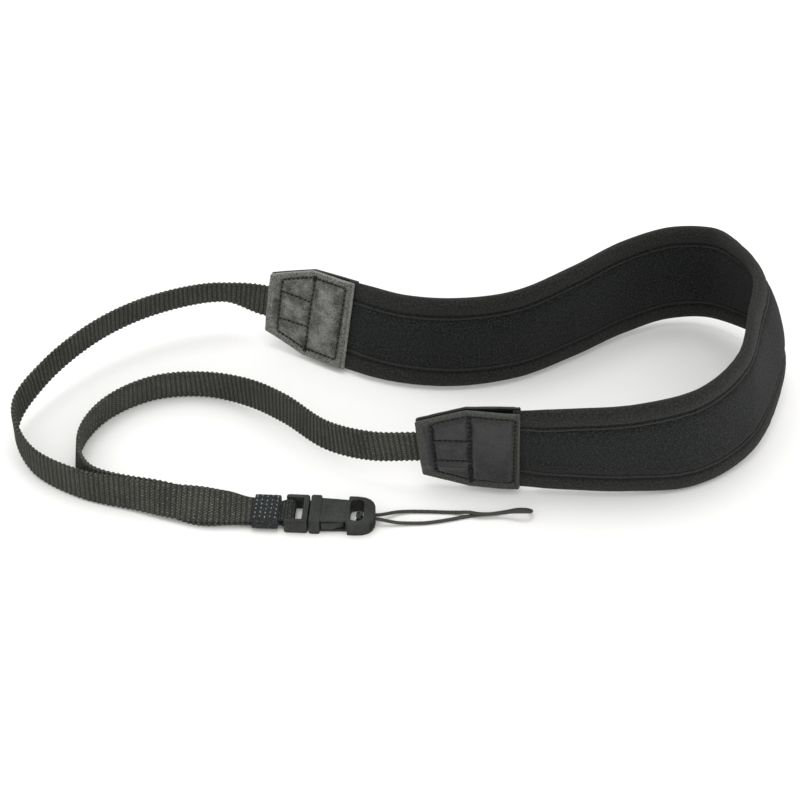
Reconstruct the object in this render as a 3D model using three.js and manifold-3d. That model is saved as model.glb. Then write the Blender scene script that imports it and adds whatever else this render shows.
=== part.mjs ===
// Camera neck strap, lying on a table in one closed loop.
//
// Two narrow webbings run from a stitched sleeve to the leatherette end tabs of a wide
// neoprene pad. A short webbing loop holds the sleeve to a side-release buckle, whose ring
// carries the thin cord that ties to the camera. Millimetres, +Z up, table at z = 0.

import * as THREE from 'three';
import { mergeVertices } from 'three/addons/utils/BufferGeometryUtils.js';
import Module from 'manifold-3d';

const wasm = await Module();
wasm.setup();

// ---------------------------------------------------------------- driving dimensions

const GAP = 0.3; // clearance between pieces that touch in use
const WEBBING = { wide: 11, thick: 1.3, apart: 1, bevel: 0.3 };
const SEWN = { wide: 10, thick: 1, apart: 0.4, ease: 10 }; // the webbings where the sleeve holds them
const PAD = { thick: 3.6, edgeCore: 1.4 };
const BINDING = { reach: 6.8, wall: 0.85, nose: 1.3 };
const TAB = { long: 31, leaf: 1, lift: 0.45, narrow: 21, taper: 0.48, seam: 15 };
const SLEEVE = { long: 7.6, wall: 0.6 };
const BUCKLE = { thick: 5, x: -37.3, y: -45.9, heading: -3.5 };
const CORD = { radius: 0.55, sides: 8, step: 2.2 };
const STATION = 4; // spacing of the sections along the strap, a third of it where its ends twist
const TWIST = 32; // length from the sleeve over which the webbings turn from flat to upright
const DEGREE = Math.PI / 180;
const UP = new THREE.Vector3(0, 0, 1);

// The strap's middle line, from the sleeve round the left, along the back, round the right
// and home along the front. z is the height of the strap's middle, lean tips its top edge
// to the left of the way it runs, wide is its width there.
const ROUTE = [
  { x: -40.1, y: -45.4, z: 2.95, lean: -90, wide: 11 },
  { x: -48, y: -44.9, z: 2.95, lean: -88, wide: 11 },
  { x: -54, y: -45.2, z: 4.4, lean: -70, wide: 11 },
  { x: -60.5, y: -45.7, z: 5.7, lean: -54, wide: 11 },
  { x: -70.5, y: -44.9, z: 6.35, lean: -24, wide: 11 },
  { x: -83.5, y: -41.4, z: 6.1, lean: -12, wide: 11 },
  { x: -101.5, y: -35.8, z: 5.7, lean: -4, wide: 11 },
  { x: -117.5, y: -24.6, z: 6.2, lean: 0, wide: 11 },
  { x: -124.5, y: -7.6, z: 8.8, lean: -1, wide: 11 },
  { x: -117.1, y: 9.4, z: 12.7, lean: -8, wide: 11 },
  { x: -101.5, y: 27.4, z: 16.2, lean: -14, wide: 11 },
  { x: -83.5, y: 39.4, z: 17.6, lean: -18, wide: 11 },
  { x: -62.5, y: 45.2, z: 18.1, lean: -21, wide: 11 },
  { x: -48, y: 43, z: 16.4, lean: 12, wide: 28 },
  { x: -33, y: 37.2, z: 15.8, lean: 18, wide: 30 },
  { x: -18.5, y: 29.9, z: 15.6, lean: 19, wide: 30.5 },
  { x: -1.5, y: 21.9, z: 16.3, lean: 13, wide: 31.5 },
  { x: 16.5, y: 18.9, z: 17.3, lean: 7, wide: 33 },
  { x: 35.5, y: 22.1, z: 18.1, lean: 3, wide: 34.5 },
  { x: 54.5, y: 33.1, z: 18.9, lean: 3, wide: 36 },
  { x: 72.5, y: 45.7, z: 19.6, lean: 4, wide: 36.8 },
  { x: 88.5, y: 51.7, z: 21.1, lean: 2, wide: 37 },
  { x: 102.5, y: 49.3, z: 22.8, lean: -3, wide: 37 },
  { x: 111.8, y: 37.4, z: 25, lean: -14, wide: 37.5 },
  { x: 116.6, y: 23.4, z: 25, lean: -19, wide: 38 },
  { x: 113.3, y: 6.1, z: 23, lean: -18, wide: 38.5 },
  { x: 104.8, y: -15.3, z: 20.7, lean: -10, wide: 39 },
  { x: 88.1, y: -30.3, z: 19.3, lean: -2, wide: 38 },
  { x: 67.5, y: -34.7, z: 18.6, lean: 1, wide: 34.6 },
  { x: 49.5, y: -34.3, z: 17.8, lean: 1, wide: 32.4 },
  { x: 34, y: -33.1, z: 17.1, lean: 0, wide: 30.3 },
  { x: 18.5, y: -31.8, z: 16.8, lean: 0, wide: 30 },
  { x: 2.5, y: -29.8, z: 15.2, lean: 0, wide: 28 },
  { x: -11.5, y: -26.9, z: 12.9, lean: -2, wide: 11 },
  { x: -25.5, y: -18.4, z: 9.9, lean: -4, wide: 11 },
  { x: -39.5, y: -3.9, z: 8.6, lean: -6, wide: 11 },
  { x: -52, y: 6, z: 7, lean: -3, wide: 11 },
  { x: -67.5, y: 11.6, z: 5.8, lean: 6, wide: 11 },
  { x: -83.5, y: 9.4, z: 5.7, lean: 8, wide: 11 },
  { x: -97.5, y: -1.6, z: 5.7, lean: 9, wide: 11 },
  { x: -103.3, y: -17.6, z: 5.7, lean: 8, wide: 11 },
  { x: -98.2, y: -33.2, z: 5.7, lean: 6, wide: 11 },
];
const TAB_ROWS = { back: 15, front: 30 }; // route rows where the pad leaves its two tabs
const PAIRED_ROW = 4; // up to this row the strap's two ends lie face to face

// The cord's route in the buckle's own frame: from the knot in the eye, out through the end
// bar, round the loop, which crosses itself near its tip, and back to the knot.
const CORD_ROUTE = [
  { x: 24, y: 0.65, z: 2.6 },
  { x: 26.2, y: 0.65, z: 2.6 },
  { x: 28.1, y: 0.8, z: 2.55 },
  { x: 30.3, y: 1.9, z: 2 },
  { x: 33, y: 3.6, z: 1.25 },
  { x: 37, y: 4.8, z: 0.75 },
  { x: 43, y: 5.2, z: 0.65 },
  { x: 49, y: 5.3, z: 0.65 },
  { x: 52.5, y: 5.1, z: 1 },
  { x: 55.5, y: 4.5, z: 1.75 },
  { x: 58.97, y: 3.91, z: 1.85 },
  { x: 63, y: 4.33, z: 1.75 },
  { x: 67.02, y: 4.56, z: 2.4 },
  { x: 70.2, y: 4.03, z: 3.25 },
  { x: 72.76, y: 3.99, z: 3.43 },
  { x: 74.02, y: 4.64, z: 2.91 },
  { x: 74.55, y: 5.79, z: 2.08 },
  { x: 74.15, y: 6.99, z: 1.25 },
  { x: 72.97, y: 7.78, z: 0.76 },
  { x: 70.41, y: 7.77, z: 0.65 },
  { x: 66.73, y: 6.58, z: 0.65 },
  { x: 62.87, y: 5.49, z: 0.65 },
  { x: 59.02, y: 4.8, z: 0.65 },
  { x: 54.4, y: 3.6, z: 0.65 },
  { x: 50.5, y: 2.3, z: 0.65 },
  { x: 46.5, y: 1.1, z: 0.65 },
  { x: 42, y: 0.1, z: 0.65 },
  { x: 37.5, y: -0.4, z: 0.8 },
  { x: 34, y: -0.8, z: 1.2 },
  { x: 31, y: -0.95, z: 1.9 },
  { x: 28.1, y: -0.9, z: 2.5 },
  { x: 26.2, y: -0.85, z: 2.6 },
  { x: 24, y: -0.85, z: 2.6 },
];
const KNOT = { x: 22.4, long: 2.4, wide: 3.6, high: 2.8 }; // against the inside of the end bar

// ---------------------------------------------------------------- materials

const material = (color, roughness) => new THREE.MeshStandardMaterial({ color, roughness, metalness: 0 });
const FINISH = {
  webbing: material(0x35352f, 0.85),
  knit: material(0x1e2024, 0.9),
  binding: material(0x2c2b28, 0.8),
  leatherette: material(0x4a4a48, 0.55),
  stitchedCloth: material(0x33363a, 0.85),
  plastic: material(0x3e4140, 0.45),
  cord: material(0x333331, 0.8),
};

// ---------------------------------------------------------------- the strap's own frame

// Two curves with one parameter: the middle line, and lean with width.
function strapCurves(rows) {
  const middleLine = new THREE.CatmullRomCurve3(rows.map((row) => new THREE.Vector3(row.x, row.y, row.z)));
  const leanAndWidth = new THREE.CatmullRomCurve3(rows.map((row) => new THREE.Vector3(row.lean, row.wide, 0)));
  middleLine.arcLengthDivisions = 2000;
  return { middleLine, leanAndWidth };
}

// The strap's frame at a curve parameter: across points up its width, inward points to the
// inside of the neck loop.
function frameAt({ middleLine, leanAndWidth }, t) {
  const along = middleLine.getTangent(t);
  const { x: lean, y: wide } = leanAndWidth.getPoint(t);
  const side = new THREE.Vector3().crossVectors(UP, along).normalize();
  const upright = new THREE.Vector3().crossVectors(along, side);
  const across = upright.multiplyScalar(Math.cos(lean * DEGREE)).addScaledVector(side, Math.sin(lean * DEGREE));
  const inward = new THREE.Vector3().crossVectors(along, across);
  return { centre: middleLine.getPoint(t), along, across, inward, lean, wide };
}

// How the webbings are at a distance from their sewn ends: drawn together in the sleeve and
// at their full size further on.
function webbingAt(distance) {
  const free = THREE.MathUtils.smoothstep(distance, SLEEVE.long, SLEEVE.long + SEWN.ease);
  const size = (measure) => THREE.MathUtils.lerp(SEWN[measure], WEBBING[measure], free);
  return { wide: size('wide'), thick: size('thick'), apart: size('apart') };
}

// The far end of the strap lies against its first rows, set off inward. It runs the other
// way, so its inward side is turned round.
function pairedFrame(curves, t, offset) {
  const { centre, along, across, inward, lean, wide } = frameAt(curves, t);
  centre.addScaledVector(inward, offset);
  return { centre, along: along.negate(), across, inward: inward.negate(), lean: -lean, wide };
}

// The route with the rows that lead its far end into the paired stretch.
function wholeRoute() {
  const curves = strapCurves(ROUTE);
  const leadIn = [PAIRED_ROW, PAIRED_ROW - 1].map((row) => {
    const t = row / (ROUTE.length - 1);
    const { centre, lean, wide } = pairedFrame(curves, t, WEBBING.thick + WEBBING.apart);
    return { x: centre.x, y: centre.y, z: centre.z, lean, wide };
  });
  return [...ROUTE, ...leadIn];
}

const rows = wholeRoute();
const strapLine = strapCurves(rows);

// Distance along the middle line at which it passes one of its rows.
function distanceAtRow(row) {
  const lengths = strapLine.middleLine.getLengths();
  return lengths[Math.round((row / (rows.length - 1)) * (lengths.length - 1))];
}

const PAIRED = distanceAtRow(PAIRED_ROW);
const PAIRED_START = distanceAtRow(ROUTE.length);

function strapFrame(distance) {
  const frame = frameAt(strapLine, strapLine.middleLine.getUtoTmapping(0, distance));
  return { ...frame, distance, toSleeve: distance };
}

// The paired stretch's frame, by its distance from the sleeve.
function pairedStrapFrame(toSleeve) {
  const { thick, apart } = webbingAt(toSleeve);
  const frame = pairedFrame(strapLine, strapLine.middleLine.getUtoTmapping(0, toSleeve), thick + apart);
  return { ...frame, distance: PAIRED_START + PAIRED - toSleeve, toSleeve };
}

// Distances of the sections between two places. All pieces share these stations, so that
// their faces stay parallel round the bends.
function stations(from, to) {
  const between = [];
  for (let distance = 0; distance < to; distance += distance < TWIST ? STATION / 3 : STATION) {
    if (distance - from > STATION / 4 && to - distance > STATION / 4) between.push(distance);
  }
  return [from, ...between, to];
}

const PAD_START = distanceAtRow(TAB_ROWS.back);
const PAD_END = distanceAtRow(TAB_ROWS.front);

// ---------------------------------------------------------------- solids

// A closed solid through rings of points, each ring turning anticlockwise when seen from
// the far end. A flat outline of the same points says how the two ends are closed.
function loft(rings, outline) {
  const count = outline.length;
  const indices = [];
  for (let ring = 0; ring < rings.length - 1; ring += 1) {
    for (let point = 0; point < count; point += 1) {
      const next = (point + 1) % count;
      const [a, b] = [ring * count + point, ring * count + next];
      const [c, d] = [b + count, a + count];
      indices.push(a, b, c, a, c, d);
    }
  }
  const last = (rings.length - 1) * count;
  for (const triangle of THREE.ShapeUtils.triangulateShape(outline, [])) {
    const turnsLeft = THREE.ShapeUtils.area(triangle.map((corner) => outline[corner])) > 0;
    const [a, b, c] = turnsLeft ? triangle : [...triangle].reverse();
    indices.push(c, b, a, last + a, last + b, last + c);
  }
  const geometry = new THREE.BufferGeometry().setFromPoints(rings.flat());
  geometry.setIndex(indices);
  geometry.computeVertexNormals();
  return geometry;
}

// A solid that follows the strap through its frames: sectionAt gives the outline at a
// frame, as points with x across the strap and y inward.
function sweep(frames, sectionAt) {
  const rings = frames.map((frame) => sectionAt(frame).map((point) =>
    frame.centre.clone().addScaledVector(frame.across, point.x).addScaledVector(frame.inward, point.y)));
  return loft(rings, sectionAt(frames[0]));
}

const vectors = (pairs) => pairs.map(([x, y]) => new THREE.Vector2(x, y));

// A rectangle with its four corners cut off and a point halfway along its long sides.
function bevelledBox(wide, thick, bevel) {
  const [w, t] = [wide / 2, thick / 2];
  return vectors([
    [-w, -t + bevel], [-w + bevel, -t], [0, -t], [w - bevel, -t], [w, -t + bevel],
    [w, t - bevel], [w - bevel, t], [0, t], [-w + bevel, t], [-w, t - bevel],
  ]);
}

function toManifold(geometry) {
  const bare = geometry.clone();
  bare.deleteAttribute('normal');
  bare.deleteAttribute('uv');
  const merged = mergeVertices(bare, 1e-4);
  return new wasm.Manifold(new wasm.Mesh({
    numProp: 3,
    vertProperties: new Float32Array(merged.attributes.position.array),
    triVerts: new Uint32Array(merged.index.array),
  }));
}

function fromManifold(solid) {
  const { vertProperties, triVerts } = solid.getMesh();
  const geometry = new THREE.BufferGeometry();
  geometry.setAttribute('position', new THREE.BufferAttribute(new Float32Array(vertProperties), 3));
  geometry.setIndex(new THREE.BufferAttribute(new Uint32Array(triVerts), 1));
  geometry.computeVertexNormals();
  return geometry;
}

function joined(geometries) {
  return fromManifold(geometries.map(toManifold).reduce((sum, solid) => sum.add(solid)));
}

function cut(geometry, cutters) {
  return fromManifold(cutters.map(toManifold).reduce((rest, solid) => rest.subtract(solid), toManifold(geometry)));
}

// A plate of the given outline between two heights.
function plate(shape, bottom, top) {
  const geometry = new THREE.ExtrudeGeometry(shape, { depth: top - bottom, bevelEnabled: false, curveSegments: 5 });
  return geometry.translate(0, 0, bottom);
}

// A box from its lowest to its highest corner.
function block([x0, y0, z0], [x1, y1, z1]) {
  const geometry = new THREE.BoxGeometry(x1 - x0, y1 - y0, z1 - z0);
  return geometry.translate((x0 + x1) / 2, (y0 + y1) / 2, (z0 + z1) / 2);
}

function named(name, geometry, finish) {
  const mesh = new THREE.Mesh(geometry, finish);
  mesh.name = name;
  return mesh;
}

// ---------------------------------------------------------------- webbings

const SEWN_IN = 1; // both webbings stop this far inside the sleeve's mouth on the buckle's side

function webbingSection({ toSleeve }) {
  const { wide, thick } = webbingAt(toSleeve);
  return bevelledBox(wide, thick, WEBBING.bevel);
}

const SEAM_BACK = PAD_START - TAB.long + TAB.seam;
const SEAM_FRONT = PAD_END + TAB.long - TAB.seam;
const webbingBack = sweep(stations(0, SEAM_BACK).map(strapFrame), webbingSection);
const webbingFront = sweep([
  ...stations(SEAM_FRONT, PAIRED_START - STATION / 2).map(strapFrame),
  ...stations(0, PAIRED).reverse().map(pairedStrapFrame),
], webbingSection);

// ---------------------------------------------------------------- pad

// The neoprene is full thickness between the bindings and squeezed thin inside them.
function padSection({ wide }) {
  const panel = wide / 2 - BINDING.reach - GAP;
  const edge = wide / 2 - BINDING.nose;
  const [full, thin] = [PAD.thick / 2, PAD.edgeCore / 2];
  return vectors([
    [-edge, -thin], [-panel, -thin], [-panel, -full], [panel, -full], [panel, -thin], [edge, -thin],
    [edge, thin], [panel, thin], [panel, full], [-panel, full], [-panel, thin], [-edge, thin],
  ]);
}

// Knit binding folded round a long edge: up is 1 for the top edge and -1 for the bottom.
function bindingSection(up) {
  return ({ wide }) => {
    const [rim, shoulder, lip] = [wide / 2, wide / 2 - 1, wide / 2 - BINDING.reach];
    const bed = rim - BINDING.nose + GAP;
    const inner = PAD.edgeCore / 2 + GAP;
    const outer = inner + BINDING.wall;
    const outline = vectors([
      [lip, -outer], [shoulder, -outer], [rim, -outer / 2], [rim, outer / 2], [shoulder, outer],
      [lip, outer], [lip, inner], [bed, inner], [bed, -inner], [lip, -inner],
    ]);
    return up > 0 ? outline : outline.map((point) => new THREE.Vector2(-point.x, point.y)).reverse();
  };
}

const padFrames = stations(PAD_START + GAP, PAD_END - GAP).map(strapFrame);
const bindings = { top: 1, bottom: -1 };

// ---------------------------------------------------------------- end tabs

// One leaf of a tab: straight-sided by the pad, tapering to the webbing. start is where
// the tab meets the pad, way is the direction from there to the webbing, and face is 1 for
// the leaf inside the neck loop and -1 for the one outside.
function tabLeaf(start, way, face) {
  const padWide = strapFrame(start).wide;
  const near = WEBBING.thick / 2 + TAB.lift;
  const section = ({ distance }) => {
    const reach = Math.abs(distance - start) / TAB.long;
    const narrowing = Math.max(0, (reach - (1 - TAB.taper)) / TAB.taper);
    const half = THREE.MathUtils.lerp(padWide, TAB.narrow, narrowing) / 2;
    const bed = WEBBING.wide / 2 + GAP;
    const [low, high] = face > 0 ? [near, near + TAB.leaf] : [-near - TAB.leaf, -near];
    return vectors([
      [-half, low], [-bed, low], [bed, low], [half, low],
      [half, high], [bed, high], [-bed, high], [-half, high],
    ]);
  };
  const end = start + way * TAB.long;
  return sweep(stations(Math.min(start, end), Math.max(start, end)).map(strapFrame), section);
}

const TABS = [
  { name: 'tab_back', start: PAD_START, way: -1 },
  { name: 'tab_front', start: PAD_END, way: 1 },
];

// ---------------------------------------------------------------- sleeve and buckle loop

// Both webbings end one on the other in the sleeve. Its frame starts at their ends, with
// z along them, x across and y inward.
function sleeveFrame() {
  const [near, far] = [strapFrame(0), strapFrame(SLEEVE.long)];
  const along = far.centre.clone().sub(near.centre).normalize();
  const across = near.across.clone();
  across.addScaledVector(along, -across.dot(along)).normalize();
  const inward = new THREE.Vector3().crossVectors(along, across);
  const centre = near.centre.clone().addScaledVector(inward, (SEWN.thick + SEWN.apart) / 2);
  return new THREE.Matrix4().makeBasis(across, inward, along).setPosition(centre);
}

function rectangle(wide, thick, bevel) {
  return new THREE.Shape(bevelledBox(wide, thick, bevel));
}

function sleeveSolid() {
  const inside = { wide: SEWN.wide + 2 * SEWN.apart, thick: 2 * SEWN.thick + 3 * SEWN.apart };
  const shape = rectangle(inside.wide + 2 * SLEEVE.wall, inside.thick + 2 * SLEEVE.wall, 0.5);
  shape.holes.push(new THREE.Path(bevelledBox(inside.wide, inside.thick, 0.2).reverse()));
  return plate(shape, -SEWN_IN, SLEEVE.long - SEWN_IN);
}

// ---------------------------------------------------------------- buckle, in its own frame

// The buckle lies flat. x runs from the webbing bar to the cord ring, y across, z up.
const CLIP = { long: 7.2, wide: 12, rail: 1.3, bar: [0.7, 2.3], block: 5.4 };
const PRONG = { inside: 3.1, outside: 4.7, barb: 5.3, tip: 18.2, bottom: 1.3, top: 3.7 };
const SOCKET = { start: 7.6, flange: 3.3, flangeWide: 12, bodyEnd: 19.1, bodyWide: 10, neckWide: 9 };
const RING = { end: 27.5, wide: 12, bar: 3.6, eyeLong: 4.2, eyeWide: 9.2 };
const CORD_HOLE = { y: -0.1, z: 2.6, wide: 3.3, high: 1.8 }; // through the ring's end bar
const CAVITY = { half: 5.05, bottom: 1, top: 4, end: 18.6, post: 2.4, postStart: 13 };

const outlineShape = (pairs) => new THREE.Shape(vectors(pairs));

function roundedRectangle(x0, y0, x1, y1, radius) {
  const shape = new THREE.Shape();
  shape.moveTo(x0 + radius, y0);
  shape.lineTo(x1 - radius, y0);
  shape.quadraticCurveTo(x1, y0, x1, y0 + radius);
  shape.lineTo(x1, y1 - radius);
  shape.quadraticCurveTo(x1, y1, x1 - radius, y1);
  shape.lineTo(x0 + radius, y1);
  shape.quadraticCurveTo(x0, y1, x0, y1 - radius);
  shape.lineTo(x0, y0 + radius);
  shape.quadraticCurveTo(x0, y0, x0 + radius, y0);
  return shape;
}

function clipSolid() {
  const half = CLIP.wide / 2;
  const inside = half - CLIP.rail;
  const frame = plate(roundedRectangle(0, -half, CLIP.long, half, 1), 0, BUCKLE.thick);
  const opening = block([-1, -inside, -1], [CLIP.block, inside, BUCKLE.thick + 1]);
  const bar = block([CLIP.bar[0], -inside - 0.5, 1.7], [CLIP.bar[1], inside + 0.5, 3.3]);
  const prongs = [1, -1].map((side) => plate(outlineShape([
    [CLIP.long - 0.5, side * PRONG.inside],
    [PRONG.tip - 1, side * PRONG.inside],
    [PRONG.tip, side * (PRONG.inside + 0.7)],
    [SOCKET.start + SOCKET.flange + 3.4, side * PRONG.barb],
    [SOCKET.start + SOCKET.flange + GAP, side * PRONG.barb],
    [SOCKET.start + SOCKET.flange + GAP, side * PRONG.outside],
    [CLIP.long - 0.5, side * PRONG.outside],
  ]), PRONG.bottom, PRONG.top));
  return joined([cut(frame, [opening]), bar, ...prongs]);
}

function socketSolid() {
  const { start, flange, bodyEnd, bodyWide, neckWide, flangeWide } = SOCKET;
  const flangeEnd = start + flange;
  const flangePlate = roundedRectangle(start, -flangeWide / 2, flangeEnd, flangeWide / 2, 0.8);
  const body = outlineShape([
    [flangeEnd - 0.5, -bodyWide / 2], [bodyEnd + 0.5, -neckWide / 2],
    [bodyEnd + 0.5, neckWide / 2], [flangeEnd - 0.5, bodyWide / 2],
  ]);
  const headHalf = RING.wide / 2;
  const head = new THREE.Shape();
  head.moveTo(bodyEnd, -headHalf + 0.6);
  head.quadraticCurveTo(bodyEnd, -headHalf, bodyEnd + 0.6, -headHalf);
  head.lineTo(bodyEnd + 2.6, -headHalf);
  head.bezierCurveTo(RING.end - 1.4, -headHalf, RING.end, -headHalf + 2.4, RING.end, 0);
  head.bezierCurveTo(RING.end, headHalf - 2.4, RING.end - 1.4, headHalf, bodyEnd + 2.6, headHalf);
  head.lineTo(bodyEnd + 0.6, headHalf);
  head.quadraticCurveTo(bodyEnd, headHalf, bodyEnd, headHalf - 0.6);
  const eyeEnd = RING.end - RING.bar;
  const eye = roundedRectangle(eyeEnd - RING.eyeLong, -RING.eyeWide / 2, eyeEnd, RING.eyeWide / 2, 1.8);
  const solid = joined([
    plate(flangePlate, 0, BUCKLE.thick),
    plate(body, 0.2, BUCKLE.thick - 0.2),
    plate(head, 0, BUCKLE.thick),
  ]);
  const [holeHalf, holeRise] = [CORD_HOLE.wide / 2, CORD_HOLE.high / 2];
  const hollowed = cut(solid, [
    block([start - 1, -CAVITY.half, CAVITY.bottom], [flangeEnd + GAP, CAVITY.half, CAVITY.top]),
    block([flangeEnd, -CAVITY.half - 1, CAVITY.bottom], [CAVITY.end, CAVITY.half + 1, CAVITY.top]),
    plate(eye, -1, BUCKLE.thick + 1),
    block(
      [eyeEnd - 0.5, CORD_HOLE.y - holeHalf, CORD_HOLE.z - holeRise],
      [RING.end + 1, CORD_HOLE.y + holeHalf, CORD_HOLE.z + holeRise],
    ),
  ]);
  const post = block([CAVITY.postStart, -CAVITY.post, 0.5], [CAVITY.end + 0.3, CAVITY.post, BUCKLE.thick - 0.5]);
  return joined([hollowed, post]);
}

// The narrow webbing that joins the sleeve to the buckle: a tongue sewn into the sleeve and
// a band wrapped round the bar.
const LOOP = { wide: 8.8, thick: 1.8, wrap: 0.9, tongue: [-2.4, -0.2] };

const buckleGroup = new THREE.Group();
buckleGroup.position.set(BUCKLE.x, BUCKLE.y, 0);
buckleGroup.rotation.z = BUCKLE.heading * DEGREE;
buckleGroup.updateMatrixWorld(true);

function buckleLoopSolid() {
  const middle = (CLIP.bar[0] + CLIP.bar[1]) / 2;
  const barHalf = (CLIP.bar[1] - CLIP.bar[0]) / 2 + GAP;
  const outside = barHalf + LOOP.wrap;
  const wrap = roundedRectangle(-outside, -outside, outside, outside, 0.9);
  wrap.holes.push(new THREE.Path(roundedRectangle(-barHalf, -barHalf, barHalf, barHalf, 0.3).getPoints(2).reverse()));
  const band = new THREE.ExtrudeGeometry(wrap, { depth: LOOP.wide, bevelEnabled: false, curveSegments: 3 });
  band.translate(0, 0, -LOOP.wide / 2).rotateX(Math.PI / 2);
  band.translate(middle, 0, BUCKLE.thick / 2);
  const [inSleeve, atBand] = LOOP.tongue;
  const low = (BUCKLE.thick - LOOP.thick) / 2;
  const tongue = block([inSleeve, -LOOP.wide / 2, low], [atBand, LOOP.wide / 2, low + LOOP.thick]);
  return joined([tongue, band]);
}

// ---------------------------------------------------------------- cord

function cordSolid() {
  const route = new THREE.CatmullRomCurve3(CORD_ROUTE.map((row) => new THREE.Vector3(row.x, row.y, row.z)));
  const section = new THREE.Shape();
  section.absarc(0, 0, CORD.radius, 0, 2 * Math.PI, false);
  return new THREE.ExtrudeGeometry(section, {
    steps: Math.round(route.getLength() / CORD.step),
    curveSegments: CORD.sides / 2,
    extrudePath: route,
  });
}

function knotSolid() {
  const knot = new THREE.IcosahedronGeometry(0.5, 2).scale(KNOT.long, KNOT.wide, KNOT.high);
  return knot.translate(KNOT.x, CORD_HOLE.y, CORD_HOLE.z);
}

// ---------------------------------------------------------------- assembly

const strap = new THREE.Group();
strap.add(named('webbing_back', webbingBack, FINISH.webbing));
strap.add(named('webbing_front', webbingFront, FINISH.webbing));
strap.add(named('pad_core', sweep(padFrames, padSection), FINISH.knit));
for (const [edge, up] of Object.entries(bindings)) {
  strap.add(named(`pad_binding_${edge}`, sweep(padFrames, bindingSection(up)), FINISH.binding));
}
for (const { name, start, way } of TABS) {
  strap.add(named(`${name}_inner_leaf`, tabLeaf(start, way, 1), FINISH.leatherette));
  strap.add(named(`${name}_outer_leaf`, tabLeaf(start, way, -1), FINISH.leatherette));
}
const sleeve = named('sleeve', sleeveSolid(), FINISH.stitchedCloth);
sleeve.applyMatrix4(sleeveFrame());
strap.add(sleeve);
buckleGroup.add(named('buckle_loop', buckleLoopSolid(), FINISH.webbing));
buckleGroup.add(named('buckle_clip', clipSolid(), FINISH.plastic));
buckleGroup.add(named('buckle_socket', socketSolid(), FINISH.plastic));
buckleGroup.add(named('cord_loop', cordSolid(), FINISH.cord));
buckleGroup.add(named('cord_knot', knotSolid(), FINISH.cord));
strap.add(buckleGroup);

export default strap;
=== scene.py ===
# %% [markdown]
# # A camera neck strap, lying on a table
#
# The packed frame holds plain solids in their real places: two webbings, a padded band with
# its bindings, two end tabs, a sleeve, a fastened buckle and a cord. This lesson builds the
# cloth, leather, plastic and thread that a person would see, round by round, in those same
# places. Everything is in metres, and the frame is loaded first.

# %% Load the frame
import math

import bmesh
import bpy
import numpy as np
from mathutils import Matrix, Vector


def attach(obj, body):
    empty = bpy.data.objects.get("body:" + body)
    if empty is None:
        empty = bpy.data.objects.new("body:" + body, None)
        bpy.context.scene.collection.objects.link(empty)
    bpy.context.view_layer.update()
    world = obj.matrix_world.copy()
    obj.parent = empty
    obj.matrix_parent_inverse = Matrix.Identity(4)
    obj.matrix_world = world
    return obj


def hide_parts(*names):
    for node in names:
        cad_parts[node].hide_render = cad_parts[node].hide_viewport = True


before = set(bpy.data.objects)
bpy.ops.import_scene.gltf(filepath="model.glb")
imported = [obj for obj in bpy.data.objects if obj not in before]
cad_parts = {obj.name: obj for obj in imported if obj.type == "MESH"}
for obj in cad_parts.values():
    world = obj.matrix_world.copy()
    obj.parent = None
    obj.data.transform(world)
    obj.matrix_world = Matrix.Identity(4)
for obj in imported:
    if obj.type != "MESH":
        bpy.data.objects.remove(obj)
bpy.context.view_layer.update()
MM = 0.001
TURN = 2 * math.pi
print("frame nodes:", ", ".join(sorted(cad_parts)))

# %% [markdown]
# ## Camera
#
# A strap is seen from above and in front, as on a desk. A long lens at 0.6 m keeps the
# upright band and the flat buckle in nearly the same scale. The camera is aimed with a
# track quaternion, which needs no constraint and so stays put in every other view.

# %% Set the camera
CAMERA = {"target": (-0.0025, 0.0104, 0), "rise": 40, "distance": 0.6, "lens": 82.35}


def add(name, data):
    """An object of some data, put into the scene."""
    obj = bpy.data.objects.new(name, data)
    bpy.context.scene.collection.objects.link(obj)
    return obj


def aim(obj, at, target):
    """Stand a camera or a light at a place and point it at its target."""
    obj.location = at
    obj.rotation_euler = (Vector(target) - Vector(at)).to_track_quat("-Z", "Y").to_euler()


def place_camera(target, rise, distance, lens):
    angle = math.radians(rise)
    away = Vector((0, -math.cos(angle), math.sin(angle))) * distance
    camera = add("camera", bpy.data.cameras.new("camera"))
    camera.data.lens = lens
    camera.data.clip_start = 0.01
    aim(camera, Vector(target) + away, target)
    bpy.context.scene.camera = camera
    return camera


camera = place_camera(**CAMERA)
print("camera at", [round(x, 3) for x in camera.location])

# %% [markdown]
# ## One smooth line through given points
#
# The cord and the strap both follow a few points. A centripetal Catmull-Rom curve passes through
# every point without looping between close ones, which a plain uniform spline does. It works on any
# number of columns, so lean and width can follow the same rule. The points are given and no two are
# the same.


# %% The curve
def smooth_line(points, at):
    """Points of the curve at parameters from 0 to 1."""
    points = np.asarray(points, float)
    ends = 2 * points[[0, -1]] - points[[1, -2]]
    padded = np.vstack([ends[:1], points, ends[1:]])
    roots = np.sqrt(np.linalg.norm(np.diff(padded, axis=0), axis=1))[:, None]
    before, span, after = roots[:-2], roots[1:-1], roots[2:]
    p0, p1, p2, p3 = padded[:-3], padded[1:-2], padded[2:-1], padded[3:]
    leave = ((p1 - p0) / before - (p2 - p0) / (before + span) + (p2 - p1) / span) * span
    arrive = ((p2 - p1) / span - (p3 - p1) / (span + after) + (p3 - p2) / after) * span
    place = np.clip(at, 0, 1) * (len(points) - 1)
    piece = np.minimum(place.astype(int), len(points) - 2)
    t = (place - piece)[:, None]
    start, end, leave, arrive = p1[piece], p2[piece], leave[piece], arrive[piece]
    square, cube = t * t, t * t * t
    return (start + leave * t + (3 * (end - start) - 2 * leave - arrive) * square
            + (2 * (start - end) + leave + arrive) * cube)


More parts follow.
